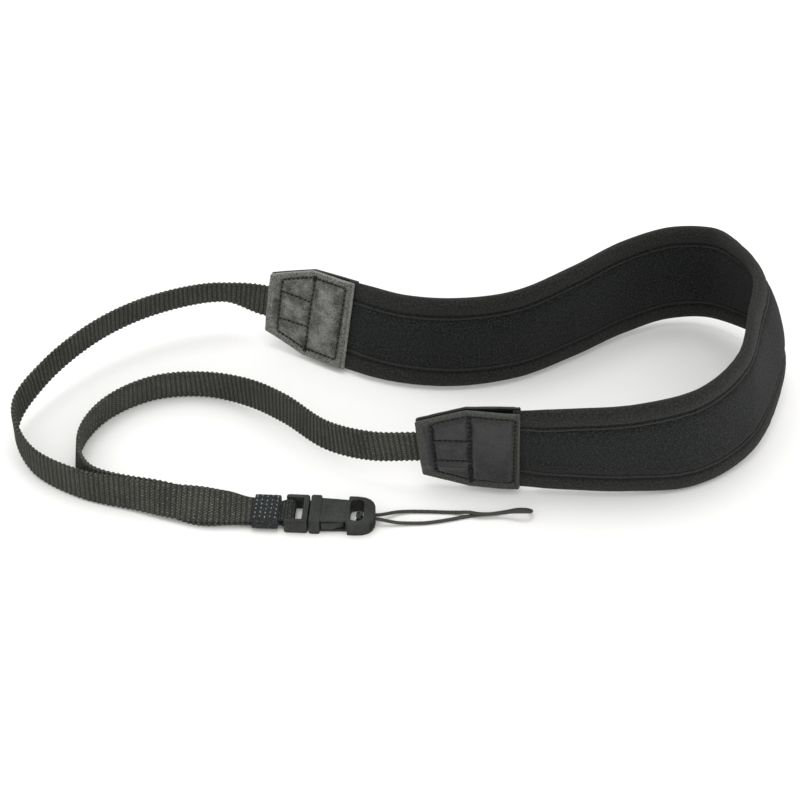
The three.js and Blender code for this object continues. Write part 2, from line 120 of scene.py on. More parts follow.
def reached(line):
    """The distance along a line at each of its points."""
    return np.r_[0, np.cumsum(np.linalg.norm(np.diff(line, axis=0), axis=1))]


print("curve test:", smooth_line([[0, 0], [1, 1], [2, 0]], np.array([0.5])))

# %% [markdown]
# ## The cord
#
# The cord is a thin braid whose two strands leave a knot in the buckle's eye, pass through
# the end bar, lie along the table and cross near the loop's tip. It could be a curve with a
# round bevel, but a skin round the same line also carries the braid. The points are in the
# buckle's own frame: x from the webbing bar to the cord ring, y across, z up.

# %% The cord's route
BUCKLE = {"x": -0.0373, "y": -0.0459, "heading": -3.5}
CORD = {"thick": 0.0011, "rings": 640, "around": 14}
CORD_ROUTE = [
    (0.024, 0.00065, 0.0026),
    (0.0262, 0.00065, 0.0026),
    (0.0281, 0.0008, 0.00255),
    (0.0303, 0.0019, 0.002),
    (0.033, 0.0036, 0.00125),
    (0.037, 0.0048, 0.00075),
    (0.043, 0.0052, 0.00065),
    (0.049, 0.0053, 0.00065),
    (0.0525, 0.0051, 0.001),
    (0.0555, 0.0045, 0.00175),
    (0.05897, 0.00391, 0.00185),
    (0.063, 0.00433, 0.00175),
    (0.06702, 0.00456, 0.0024),
    (0.0702, 0.00403, 0.00325),
    (0.07276, 0.00399, 0.00343),
    (0.07402, 0.00464, 0.00291),
    (0.07455, 0.00579, 0.00208),
    (0.07415, 0.00699, 0.00125),
    (0.07297, 0.00778, 0.00076),
    (0.07041, 0.00777, 0.00065),
    (0.06673, 0.00658, 0.00065),
    (0.06287, 0.00549, 0.00065),
    (0.05902, 0.0048, 0.00065),
    (0.0544, 0.0036, 0.00065),
    (0.0505, 0.0023, 0.00065),
    (0.0465, 0.0011, 0.00065),
    (0.042, 0.0001, 0.00065),
    (0.0375, -0.0004, 0.0008),
    (0.034, -0.0008, 0.0012),
    (0.031, -0.00095, 0.0019),
    (0.0281, -0.0009, 0.0025),
    (0.0262, -0.00085, 0.0026),
    (0.024, -0.00085, 0.0026),
]
buckle_place = (Matrix.Translation((BUCKLE["x"], BUCKLE["y"], 0))
                @ Matrix.Rotation(math.radians(BUCKLE["heading"]), 4, "Z"))


def in_buckle(points):
    """Points given in the buckle's frame, in the row frame."""
    points = np.asarray(points, float)
    turn = np.array(buckle_place.to_3x3())
    return points @ turn.T + np.array(buckle_place.translation)


cord_line = in_buckle(smooth_line(CORD_ROUTE, np.linspace(0, 1, CORD["rings"])))

# %% [markdown]
# ## One way to make a skin
#
# Webbing, binding, leather and cord are all the same kind of shape: a closed outline that
# travels. So one builder joins rings of points with quads, closes both ends with a ladder
# of quads, and stores millimetres along and round as a UV map. Weaves and grain then have
# their real size on every piece, whatever its length.

# %% The skin builder
def unit(vectors):
    """The same directions, each one long."""
    return vectors / np.linalg.norm(vectors, axis=-1, keepdims=True)


def ladder(first, count):
    """Quads that close one ring of an even number of points."""
    rungs = np.arange(count // 2 - 1)
    return first + np.c_[rungs, rungs + 1, count - 2 - rungs, count - 1 - rungs]


def tube_quads(count, around):
    """Quads between rings, then the quads that close the two ends."""
    i, j = (grid.ravel() for grid in np.mgrid[0:count - 1, 0:around])
    corners = [(i, j), (i, j + 1), (i + 1, j + 1), (i + 1, j)]
    quads = np.stack([ring * around + spot % around for ring, spot in corners], axis=1)
    ends = np.vstack([ladder(0, around)[:, ::-1], ladder((count - 1) * around, around)])
    return np.vstack([quads, ends]), corners


print("a tube of 3 rings of 8 points has", len(tube_quads(3, 8)[0]), "quads")


# %% A skin from rings
def link(name, points, faces):
    """A smooth object from points and faces."""
    mesh = bpy.data.meshes.new(name)
    mesh.from_pydata(points.reshape(-1, 3).tolist(), [], faces.tolist())
    mesh.shade_smooth()
    return add(name, mesh)


def skin(name, rings, **marks):
    """A closed skin through rings[ring, point], with its UV map in millimetres and marks."""
    count, around = rings.shape[:2]
    along = reached(rings.mean(axis=1)) / MM
    ring = rings[count // 2]
    round_it = reached(np.vstack([ring, ring[:1]])) / MM
    quads, corners = tube_quads(count, around)
    uv = np.zeros((len(quads), 4, 2))
    for corner, (i, j) in enumerate(corners):
        uv[:len(i), corner] = np.c_[along[i], round_it[j]]
    piece = link(name, rings, quads)
    mesh = piece.data
    mesh.uv_layers.new(name="cloth").data.foreach_set("uv", uv.ravel())
    for mark, amount in marks.items():
        amount = np.broadcast_to(amount, (count, around)).astype(np.float32)
        mesh.attributes.new(mark, "FLOAT", "POINT").data.foreach_set("value", amount.ravel())
    build = bmesh.new()
    build.from_mesh(mesh)
    bmesh.ops.recalc_face_normals(build, faces=build.faces)
    build.to_mesh(mesh)
    build.free()
    print(name, "has", len(quads), "quads")
    return piece

# %% [markdown]
# The cord's rings stand square to its line. The sideways direction of each ring is carried
# over from the last one, so the skin never twists. The braid is real relief: strands that
# climb both ways round the core.

# %% The braided cord
BRAID = {"pitch": 1.15, "strands": 3, "relief": 0.055}


def ring_angles(around):
    """The directions of a ring's points round its middle."""
    return np.linspace(0, TURN, around, endpoint=False)


def round_rings(line, radius, around):
    """Rings round a line, carried along it without twist. radius is one number or a grid."""
    along = unit(np.gradient(line, axis=0))
    aside = np.empty_like(line)
    aside[0] = unit(np.cross(along[0], [0.31, 0.17, 0.94]))
    for ring in range(1, len(line)):
        aside[ring] = unit(aside[ring - 1] - along[ring] * np.dot(aside[ring - 1], along[ring]))
    above = np.cross(along, aside)
    turn = ring_angles(around)[:, None]
    radius = np.broadcast_to(radius, (len(line), around))[..., None]
    return line[:, None] + (aside[:, None] * np.cos(turn) + above[:, None] * np.sin(turn)) * radius


def braided(name, line, thick, around):
    """A braid along a line: its skin rises where a strand lies on top."""
    reach = np.linspace(0, reached(line)[-1] / MM, len(line))[:, None] * TURN / BRAID["pitch"] / 2
    turn = ring_angles(around) * BRAID["strands"]
    weave = np.maximum(np.sin(reach + turn) ** 2, np.sin(reach - turn) ** 2)
    radius = thick / 2 * (1 - BRAID["relief"] * 2 * (1 - weave))
    return skin(name, round_rings(line, radius, around))


cord = braided("cord_braid", cord_line, CORD["thick"], CORD["around"])

# %% [markdown]
# The knot is a trefoil: one closed line that goes twice round while it weaves in and out
# three times. Drawn with the cord's thickness and squeezed to the eye, it is a real
# overhand knot pulled tight, and needs no sculpting.

# %% The knot
KNOT = {"place": (0.0226, -0.0002, 0.0024), "size": (0.0004, 0.0005, 0.00044), "thick": 0.00095,
        "rings": 160, "around": 12}


def trefoil(count, size):
    turn = np.linspace(0, TURN, count)
    x = -1.6 * np.sin(3 * turn)
    y = np.sin(turn) + 2 * np.sin(2 * turn)
    z = np.cos(turn) - 2 * np.cos(2 * turn)
    return np.c_[x, y, z] * size


knot_line = in_buckle(trefoil(KNOT["rings"], KNOT["size"]) + KNOT["place"])
knot = braided("cord_knot_turns", knot_line, KNOT["thick"], KNOT["around"])
print("knot spans (mm):", np.round(np.ptp(knot_line, axis=0) / MM + KNOT["thick"] / MM, 2))

# %% [markdown]
# ## The strap's own frame
#
# Everything sewn follows one line round the table. The table below gives its middle, how
# far its top edge tips to the left of the way it runs, and its width. From the line come
# three directions at any distance: along, across (up the width) and inward (to the wearer's
# neck). A piece is then drawn flat, as a cutter would, and placed by distance.

# %% The strap's route
ROUTE = np.array([  # x, y, z in metres, lean in degrees, width in metres
    (-0.0401, -0.0454, 0.00295, -90, 0.011),
    (-0.048, -0.0449, 0.00295, -88, 0.011),
    (-0.054, -0.0452, 0.0044, -70, 0.011),
    (-0.0605, -0.0457, 0.0057, -54, 0.011),
    (-0.0705, -0.0449, 0.00635, -24, 0.011),
    (-0.0835, -0.0414, 0.0061, -12, 0.011),
    (-0.1015, -0.0358, 0.0057, -4, 0.011),
    (-0.1175, -0.0246, 0.0062, 0, 0.011),
    (-0.1245, -0.0076, 0.0088, -1, 0.011),
    (-0.1171, 0.0094, 0.0127, -8, 0.011),
    (-0.1015, 0.0274, 0.0162, -14, 0.011),
    (-0.0835, 0.0394, 0.0176, -18, 0.011),
    (-0.0625, 0.0452, 0.0181, -21, 0.011),
    (-0.048, 0.043, 0.0164, 12, 0.028),
    (-0.033, 0.0372, 0.0158, 18, 0.03),
    (-0.0185, 0.0299, 0.0156, 19, 0.0305),
    (-0.0015, 0.0219, 0.0163, 13, 0.0315),
    (0.0165, 0.0189, 0.0173, 7, 0.033),
    (0.0355, 0.0221, 0.0181, 3, 0.0345),
    (0.0545, 0.0331, 0.0189, 3, 0.036),
    (0.0725, 0.0457, 0.0196, 4, 0.0368),
    (0.0885, 0.0517, 0.0211, 2, 0.037),
    (0.1025, 0.0493, 0.0228, -3, 0.037),
    (0.1118, 0.0374, 0.025, -14, 0.0375),
    (0.1166, 0.0234, 0.025, -19, 0.038),
    (0.1133, 0.0061, 0.023, -18, 0.0385),
    (0.1048, -0.0153, 0.0207, -10, 0.039),
    (0.0881, -0.0303, 0.0193, -2, 0.038),
    (0.0675, -0.0347, 0.0186, 1, 0.0346),
    (0.0495, -0.0343, 0.0178, 1, 0.0324),
    (0.034, -0.0331, 0.0171, 0, 0.0303),
    (0.0185, -0.0318, 0.0168, 0, 0.03),
    (0.0025, -0.0298, 0.0152, 0, 0.028),
    (-0.0115, -0.0269, 0.0129, -2, 0.011),
    (-0.0255, -0.0184, 0.0099, -4, 0.011),
    (-0.0395, -0.0039, 0.0086, -6, 0.011),
    (-0.052, 0.006, 0.007, -3, 0.011),
    (-0.0675, 0.0116, 0.0058, 6, 0.011),
    (-0.0835, 0.0094, 0.0057, 8, 0.011),
    (-0.0975, -0.0016, 0.0057, 9, 0.011),
    (-0.1033, -0.0176, 0.0057, 8, 0.011),
    (-0.0982, -0.0332, 0.0057, 6, 0.011),
])
PAIRED_ROW = 4  # up to this row the strap's two ends lie face to face
LEAD_IN = 0.0023  # how far apart they are there
TAB_ROWS = {"back": 15, "front": 30}  # the rows where the tabs begin on the pad
print("strap route of", len(ROUTE), "points")


# %% The strap's line
class StrapLine:
    """The strap's middle line, with its directions at any distance along it."""

    def __init__(self, rows):
        self.rows = rows
        self.at = np.linspace(0, 1, 20001)
        self.reached = reached(smooth_line(rows[:, :3], self.at))

    def distance_at_row(self, row):
        return float(np.interp(row / (len(self.rows) - 1), self.at, self.reached))

    def frames(self, distance):
        """Arrays of centre, across, inward, lean (degrees) and width, one row per distance."""
        at = np.interp(distance, self.reached, self.at)
        line = self.rows[:, :3]
        along = unit(smooth_line(line, at + 1e-4) - smooth_line(line, at - 1e-4))
        lean, wide = smooth_line(self.rows[:, 3:] / (1, MM), at).T
        side = unit(np.cross((0, 0, 1), along))
        angle = np.radians(lean)[:, None]
        across = np.cross(along, side) * np.cos(angle) + side * np.sin(angle)
        inward = np.cross(along, across)
        return {"centre": smooth_line(line, at), "across": across, "inward": inward,
                "lean": lean, "wide": wide * MM}


rough = StrapLine(ROUTE)
print("line before its closing end (mm):", round(rough.reached[-1] / MM, 1))


# %% Placing pieces on it
def shifted(frames, way, by):
    """Frames moved by some distances along one of their own directions."""
    return dict(frames, centre=frames["centre"] + frames[way] * np.reshape(by, (-1, 1)))


def facing(frames, offset):
    """Frames set off inward from the given ones, as for a band that runs back over them."""
    return dict(shifted(frames, "inward", offset), inward=-frames["inward"], lean=-frames["lean"])


def place(frames, x, y):
    """Points at x across the strap and y inward, a ring for each frame."""
    centre, across, inward = (frames[key][:, None] for key in ("centre", "across", "inward"))
    return centre + across * x[..., None] + inward * y[..., None]


lead_rows = [rough.distance_at_row(row) for row in (PAIRED_ROW, PAIRED_ROW - 1)]
lead = facing(rough.frames(lead_rows), LEAD_IN)
strap = StrapLine(np.vstack([ROUTE, np.c_[lead["centre"], lead["lean"], lead["wide"]]]))
PAD_START, PAD_END = (strap.distance_at_row(TAB_ROWS[end]) for end in ("back", "front"))
PAIRED = strap.distance_at_row(PAIRED_ROW)
PAIRED_START = strap.distance_at_row(len(ROUTE))
print("pad from", round(PAD_START / MM, 1), "to", round(PAD_END / MM, 1), "mm of",
      round((PAIRED_START + PAIRED) / MM, 1))

# %% [markdown]
# ## Webbing
#
# The narrow webbing is woven nylon: thick ribs cross it every millimetre and a half or so,
# and the edge bulges where each rib turns, so it looks scalloped. A flat band with a bump
# texture would lose that edge. The ribs are modelled here, and only the fine yarn is left to
# the material. Both strands draw together towards the sleeve, and where they lie face to
# face the front one has slipped a little across the back one.

# %% The webbing's size and outline
WEBBING = {"wide": 0.011, "thick": 0.0012, "apart": 0.00035, "nose": 0.00045, "rib": 0.00165,
           "rib_rise": 0.00011, "scallop": 0.00032, "step": 0.0002}
SLIP = {"from": 0.009, "most": 0.024, "to": 0.040, "by": 0.001}
CLOSING = 0.05
SEWN = {"wide": 0.0103, "thick": 0.001, "apart": 0.0004, "ease": 0.022}
SLEEVE = {"long": 0.0078, "wide": 0.0128, "thick": 0.0041, "sewn_in": 0.001, "lift": 0.00025}
TAB = {"long": 0.031, "seam": 0.015, "narrow": 0.021, "straight": 0.0161}
print("ribs on the strap:", round(strap.reached[-1] / WEBBING["rib"]))


# %% Smooth steps, waves and bumps
def ease(value, start, end):
    """0 before start, 1 after end, smooth between."""
    share = np.clip((np.asarray(value, float) - start) / (end - start), 0, 1)
    return share * share * (3 - 2 * share)


def swing(distance, pitch):
    """A wave between -1 and 1 that repeats every pitch."""
    return np.cos(distance / pitch * TURN)


def bell(distance, spread):
    """1 at no distance, falling away to 0 over the spread."""
    return np.exp(-((distance / spread) ** 2))


print("half way:", ease(0.5, 0, 1), round(swing(0.5, 2), 3), round(bell(0.83, 1), 3))


# %% The webbing's rings
def band_outline(face_points, nose_points):
    """A flat band's outline: shares of its straight half width, its nose and half thickness."""
    turn = np.linspace(-math.pi / 2, math.pi / 2, nose_points)
    flat = np.linspace(1, -1, face_points + 2)[1:-1]
    zero, one = np.zeros(face_points), np.ones(face_points)
    straight = np.r_[np.ones(nose_points), flat, -np.ones(nose_points), -flat]
    nose = np.r_[np.cos(turn), zero, -np.cos(turn), zero]
    rise = np.r_[np.sin(turn), one, -np.sin(turn), -one]
    return straight, nose, rise


def freedom(to_sleeve):
    """0 where the sleeve holds the webbings, 1 where they run free."""
    return ease(to_sleeve, SLEEVE["long"], SLEEVE["long"] + SEWN["ease"])


def webbing_rings(frames, to_sleeve, distance):
    """Rings of the ribbed webbing. distance runs on along the piece, for the ribs."""
    free = freedom(to_sleeve)[:, None]
    wide, thick = (SEWN[k] + (WEBBING[k] - SEWN[k]) * free for k in ("wide", "thick"))
    wave = swing(distance, WEBBING["rib"])[:, None]
    straight, nose, rise = band_outline(12, 5)
    half = wide / 2 - WEBBING["nose"] + wave * WEBBING["scallop"] / 2 * free
    swell = thick / 2 + wave * WEBBING["rib_rise"] * free
    return place(frames, straight * half + nose * WEBBING["nose"], rise * swell)


SEAM_BACK = PAD_START - TAB["long"] + TAB["seam"]
SEAM_FRONT = PAD_END + TAB["long"] - TAB["seam"]
print("back webbing (mm):", round(SEAM_BACK / MM, 1))


# %% The two webbings

def paired_offset(to_sleeve):
    """How far apart the middles of the two strands are, near the sleeve."""
    sewn, free = (size["thick"] + size["apart"] for size in (SEWN, WEBBING))
    return sewn + (free - sewn) * freedom(to_sleeve)


reach = np.arange(0, SEAM_BACK, WEBBING["step"])
webbing_back = skin("webbing_back_ribbed", webbing_rings(strap.frames(reach), reach, reach))

free_reach = np.arange(SEAM_FRONT, PAIRED_START, WEBBING["step"])
paired_reach = np.arange(0, PAIRED, WEBBING["step"])[::-1]
closing = ease(free_reach, PAIRED_START - CLOSING, PAIRED_START) * (LEAD_IN - paired_offset(PAIRED))
free_frames = shifted(strap.frames(free_reach), "inward", closing)
paired_frames = facing(strap.frames(paired_reach), paired_offset(paired_reach))
front_frames = {key: np.concatenate([free_frames[key], paired_frames[key]]) for key in free_frames}
to_sleeve = np.r_[PAIRED_START + PAIRED - free_reach, paired_reach]
begins, most, ends = SLIP["from"], SLIP["most"], SLIP["to"]
slip = ease(to_sleeve, begins, most) * (1 - ease(to_sleeve, most, ends)) * SLIP["by"]
run_on = SEAM_FRONT + to_sleeve.max() - to_sleeve
webbing_front = skin("webbing_front_ribbed",
                     webbing_rings(shifted(front_frames, "across", -slip), to_sleeve, run_on))

# %% [markdown]
# ## Pad
#
# The pad is a neoprene sheet faced with fine knit, and a stretch binding is folded round each long
# edge and sewn through. The seam pulls both skins together, so the panel swells between the seams
# and the binding swells outside them. A cloth simulation rounds off a groove this narrow, so the
# profile is drawn as heights at distances from the edge, and swept along the strap. The seam's pull
# changes a little with every stitch.

# %% The pad's profile
PAD = {"seam": 0.006, "tuck": 0.003, "squeezed": 0.5, "settle": 0.008, "step": 0.0006,
       "crown": 0.0022, "crown_row": 24, "crown_spread": 0.02, "stitch": 0.0026, "span": 16}
RELIEF = {"uneven": 0.00006, "gathers": 0.00012, "pull": 0.00008, "puckers": 0.00007}
PANEL_PROFILE = np.array([  # distance from the pad's edge, half thickness
    (0.0064, 0.00075), (0.0072, 0.001), (0.0077, 0.0013), (0.0083, 0.0016), (0.0092, 0.0018),
    (0.0105, 0.0019), (0.0125, 0.00195),
])
BINDING_PROFILE = np.array([
    (0.0072, 0.0010), (0.00735, 0.00125), (0.0072, 0.00146), (0.0068, 0.00152), (0.0064, 0.0014),
    (0.0061, 0.00112), (0.0059, 0.00108), (0.0056, 0.00128), (0.0050, 0.00158), (0.0041, 0.00178),
    (0.0031, 0.00186), (0.0021, 0.00178), (0.0012, 0.00152), (0.0005, 0.00108), (0.0001, 0.00055),
])
puckers = np.random.default_rng(11)
groove = BINDING_PROFILE[:, 1].max() - BINDING_PROFILE[6, 1]
print("groove at the seam (mm):", round(groove / MM, 2))


# %% How the pad lies
def ripple(rng, along, across, wavelength, waves=7):
    """Smooth irregular relief between about -1 and 1, for cloth that is never quite even."""
    total = 0
    for _ in range(waves):
        heading, phase = rng.uniform(0, math.pi), rng.uniform(0, 2 * math.pi)
        pitch = wavelength * rng.uniform(0.7, 1.6)
        run = along * math.cos(heading) + across * math.sin(heading)
        total = total + np.cos(run * TURN / pitch + phase)
    return total / waves * 1.6


def pad_squeeze(distance):
    """How much of its thickness the pad keeps: less where the tabs clamp it."""
    inside = np.minimum(distance - PAD_START, PAD_END - distance)
    return PAD["squeezed"] + (1 - PAD["squeezed"]) * ease(inside, 0, PAD["settle"])


def pad_crown(distance, x, wide):
    """How far the pad's middle bellies outward, where it turns on the table."""
    belly = bell(distance - strap.distance_at_row(PAD["crown_row"]), PAD["crown_spread"])
    return -PAD["crown"] * belly * (1 - (2 * x / wide) ** 2)


def pad_place(distance, x, y):
    """Points of the pad at x across and y inward, a ring for each distance."""
    frames = strap.frames(distance)
    crown = pad_crown(distance[:, None], x, frames["wide"][:, None])
    return place(frames, x, y * pad_squeeze(distance)[:, None] + crown)


pad_reach = np.arange(PAD_START - PAD["tuck"], PAD_END + PAD["tuck"], PAD["step"])
pad_half = strap.frames(pad_reach)["wide"][:, None] / 2
print("pad width (mm):", np.round(pad_half[[0, -1], 0] * 2 / MM, 1), "at its ends,",
      round(float(pad_half.max()) * 2 / MM, 1), "at most")

# %% The panel and the bindings
LINING = np.array([(0.0015, 0.0004), (0.0035, 0.0007), (0.0072, 0.0007)])
LIP = 0.00705


def mirrored(half):
    """A row of points and its mirror image, for the second face."""
    return np.hstack([half, half[:, ::-1]])


def panel_rings():
    edge, rise = PANEL_PROFILE.T
    share = np.linspace(-1, 1, PAD["span"] + 2)[1:-1]
    x = np.hstack([edge - pad_half, (pad_half - edge[-1]) * share, (pad_half - edge)[:, ::-1]])
    y = np.broadcast_to(np.r_[rise, np.full(PAD["span"], rise[-1]), rise[::-1]], x.shape)
    uneven = ripple(puckers, pad_reach[:, None], x, 0.011) * RELIEF["uneven"]
    seam = bell(pad_half - np.abs(x) - PAD["seam"], 0.004)
    gathers = ripple(puckers, pad_reach[:, None], x * 0.2, 0.0042) * RELIEF["gathers"] * seam
    top = y + (uneven + gathers) * (y > 0.0012)
    return pad_place(pad_reach, mirrored(x), np.hstack([-top, top[:, ::-1]]))


def binding(name, edge_sign):
    edge, rise = BINDING_PROFILE.T
    stitch = swing(pad_reach, PAD["stitch"])[:, None] * bell(edge - PAD["seam"], 0.0009)
    gathers = ripple(puckers, pad_reach[:, None], edge[None], 0.0045) * (rise > 0.0011)
    rise = rise + stitch * RELIEF["pull"] + gathers * RELIEF["puckers"]
    x, lining_x = (edge_sign * (pad_half - inset) for inset in (edge, LINING[:, 0]))
    lining_y = np.broadcast_to(LINING[:, 1], lining_x.shape)
    across = np.hstack([mirrored(x), lining_x[:, ::-1], lining_x])
    through = np.hstack([rise, -rise[:, ::-1], -lining_y[:, ::-1], lining_y])
    # The seam mark paints shade into the stitch groove; the other mark paints a highlight on the
    # narrow ridge beside it.
    marks = {"seam": bell(edge - PAD["seam"], 0.00045), "lip": bell(edge - LIP, 0.0004)}
    marks = {mark: np.r_[shade, shade[::-1], np.zeros(6)] for mark, shade in marks.items()}
    return skin(name, pad_place(pad_reach, across, through), **marks)


panel = skin("pad_panel", panel_rings())
binding_top = binding("pad_binding_top_edge", 1)
binding_bottom = binding("pad_binding_bottom_edge", -1)

# %% [markdown]
# ## Stitches
#
# A machine stitch is a short length of thread that dives into the cloth at both ends. It
# could be drawn in the material, but then a close view shows paint. Here a row of stitches
# is one mesh: a small bent capsule, repeated along a line drawn on the piece's surface.
# The surface is any function of two measures, so the same stitcher works on pad and leather.

# %% The stitcher
THREAD = {"thick": 0.00042, "rings": 7, "around": 6}


def directions(surface, first, second, run, side):
    """The way a row runs at its points and the direction straight out of the surface."""
    def across(d1, d2):
        return surface(first + d1, second + d2) - surface(first - d1, second - d2)
    d1, d2 = run * 1e-4
    way = across(d1, d2)
    return unit(way), side * unit(np.cross(way, across(-d2, d1)))


def stitches_along(surface, start, end, long, gap, side=1):
    """Middles, ways and outward directions of the stitches from start to end."""
    start, run = np.asarray(start, float), np.subtract(end, start)
    length = np.linalg.norm(run)
    count = max(1, int(round(length / (long + gap))))
    first, second = start[:, None] + run[:, None] * (np.arange(count) + 0.5) / count
    return surface(first, second), *directions(surface, first, second, run / length, side)


def sew(name, rows, long, thick=THREAD["thick"], sink=0.0):
    """One mesh of stitches from rows of middles, ways and outward directions."""
    spots, ways, outs = (np.vstack(part)[:, None, None] for part in zip(*rows))
    s = np.linspace(-1, 1, THREAD["rings"])[:, None, None]
    turn = ring_angles(THREAD["around"])[:, None]
    rise = thick * (0.22 - 0.55 * s ** 4) - sink
    radius = thick / 2 * np.sqrt(1.02 - s ** 6)
    points = (spots + ways * s * long / 2 + outs * rise
              + radius * (outs * np.cos(turn) + np.cross(ways, outs) * np.sin(turn)))
    count, rings, around = points.shape[:3]
    firsts = np.arange(count)[:, None, None] * rings * around
    threads = link(name, points, (tube_quads(rings, around)[0] + firsts).reshape(-1, 4))
    print(name, "has", count, "stitches")
    return threads


# %% The pad's seams
def pad_face(face, edge_sign):
    """A surface of the pad: distance along it and distance in from one of its edges."""
    def surface(distance, edge):
        half = strap.frames(distance)["wide"] / 2
        height = np.interp(edge, *BINDING_PROFILE[::-1].T)
        x, y = edge_sign * (half - edge), face * height
        return pad_place(distance, x[:, None], y[:, None])[:, 0]
    return surface


seam_ends = [(distance, PAD["seam"]) for distance in (PAD_START + 0.0005, PAD_END - 0.0005)]
seam_long = PAD["stitch"] * 0.8
seam_rows = [stitches_along(pad_face(face, edge_sign), *seam_ends, seam_long, PAD["stitch"] * 0.2,
                            -face * edge_sign)
             for face in (1, -1) for edge_sign in (1, -1)]
pad_seams = sew("pad_seam_stitches", seam_rows, seam_long, thick=0.0003, sink=0.00004)

# %% [markdown]
# ## End tabs
#
# Each tab is two leaves of coated leather-cloth with thin foam behind, clamped over the
# pad's end and the webbing and sewn round. Where thread pulls it down the leaf makes a
# groove, and between the rows it puffs up like a quilt. The height of the leaf is worked
# out from the distance to the nearest row of stitches, so stitches, grooves and puffs
# always agree.

# %% Where the tabs are sewn
TABS = {
    "back": {"start": PAD_START, "way": -1, "pad_inset": 0.0034, "plate": False,
             "rows": ((0.0041, 0.0054), (-0.0047, -0.0044)),
             "puff": {"rise": 0.0012, "reach": 0.003, "power": 2}},
    "front": {"start": PAD_END, "way": 1, "pad_inset": 0.0018, "plate": True,
              "rows": ((0.0031, 0.0034), (-0.0049, -0.0045)),
              "puff": {"rise": 0.0007, "reach": 0.0011, "power": 3}},
}
QUILT = {"inset": 0.0026, "cross": 0.0152, "end": 0.0264, "stitch": 0.0011, "gap": 0.00055}
LEAF = {"thick": 0.00085, "round": 0.0005, "groove": 0.00045, "corner": 0.0006, "hem": 0.0013}
for tab in TABS.values():
    tab["half"] = float(strap.frames([tab["start"]])["wide"][0]) / 2
print("tab widths (mm):", [round(tab["half"] * 2 / MM, 1) for tab in TABS.values()])


# %% The rows of stitches
def tab_half(tab, u):
    """Half the tab's width at u from its pad end, with its corners rounded."""
    taper = np.clip((u - TAB["straight"]) / (TAB["long"] - TAB["straight"]), 0, 1)
    half = tab["half"] + (TAB["narrow"] / 2 - tab["half"]) * taper
    near_end = np.clip(np.minimum(u, TAB["long"] - u) / LEAF["corner"], 0, 1)
    return half - LEAF["corner"] * (1 - np.sqrt(1 - (1 - near_end) ** 2))


def seam_lines(tab):
    """The tab's rows of stitches, as pairs of (u, v) ends."""
    pad, cut, cross, end = tab["pad_inset"], TAB["straight"], QUILT["cross"], QUILT["end"]
    side = tab["half"] - QUILT["inset"]
    slope = (TAB["narrow"] / 2 - tab["half"]) / (TAB["long"] - cut)
    tip = side + slope * (end - cut)
    lines = [((u, -v), (u, v)) for u, v in ((pad, side), (end, tip), (cross, side))]
    for v, v_end in ((side, tip), (-side, -tip)):
        lines += [((pad, v), (cut, v)), ((cut, v), (end, v_end))]
    return lines + [((cross, at_cross), (end, at_end)) for at_cross, at_end in tab["rows"]]


def distance_to_seams(lines, u, v):
    """Distance from each point to the nearest row of stitches."""
    spot = np.stack([u, v], axis=-1)
    nearest = np.full(u.shape, 1.0)
    for start, end in np.asarray(lines):
        run = end - start
        share = np.clip(((spot - start) @ run) / (run @ run), 0, 1)
        gap = np.linalg.norm(spot - start - share[..., None] * run, axis=-1)
        nearest = np.minimum(nearest, gap)
    return nearest


for name, tab in TABS.items():
    tab["lines"] = seam_lines(tab)
    print(name, "tab:", len(tab["lines"]), "rows of stitches")

# %% The leaf's height
PLATE = {"from": 0.0032, "to": 0.0138, "half": 0.0118, "rise": 0.0004, "edge": 0.0005}
WRINKLES = ((0.0045, 0.00005), (0.0016, 0.00002))


def leaf_bed(u, v):
    """Distance from the strap's middle to the leaf's inner face."""
    middle = 0.00112 - 0.00036 * ease(u, 0.003, 0.010)
    side = 0.00112 - 0.00082 * ease(u, 0.004, 0.018)
    return middle + (side - middle) * ease(np.abs(v), 0.0058, 0.0085)


def from_leaf_edge(tab, u, v):
    """Distance from the leaf's nearest edge."""
    return np.minimum(tab_half(tab, u) - np.abs(v), np.minimum(u, TAB["long"] - u))


def leaf_puff(tab, u, v, face):
    """How far the leaf's outer face stands over its flat thickness."""
    from_seam = distance_to_seams(tab["lines"], u, v)
    inside = ease(from_leaf_edge(tab, u, v), QUILT["inset"] - 0.0004, QUILT["inset"] + 0.0004)
    rise, reach, power = tab["puff"].values()
    puff = rise * (1 - np.exp(-((from_seam / reach) ** power))) * (0.28 + 0.72 * inside)
    puff = puff - LEAF["groove"] * (bell(from_seam, 0.00048) + 0.5 * bell(u - LEAF["hem"], 0.00032))
    if tab["plate"] and face < 0:
        from_ends = np.minimum(u - PLATE["from"], PLATE["to"] - u)
        flat = ease(np.minimum(from_ends, PLATE["half"] - np.abs(v)), 0, PLATE["edge"])
        puff = puff * (1 - flat) + (rise * 0.6 + PLATE["rise"]) * flat
    return puff


spot = np.array([QUILT["end"] - 0.004]), np.zeros(1)
print("back leaf's puff there (mm):", np.round(leaf_puff(TABS["back"], *spot, 1) / MM, 2))


# %% The leaf's faces
def leaf_place(tab, u, v, height):
    """Points over the leaf at u from the pad, v across and a height from the strap's middle."""
    return place(strap.frames(tab["start"] + tab["way"] * u), v, height)


def leaf_surface(tab, face):
    """The leaf's outer face as a surface of u from the pad and v across, both in metres."""
    def surface(u, v):
        height = leaf_bed(u, v) + LEAF["thick"] + leaf_puff(tab, u, v, face)
        return leaf_place(tab, u, v[:, None], face * height[:, None])[:, 0]
    return surface


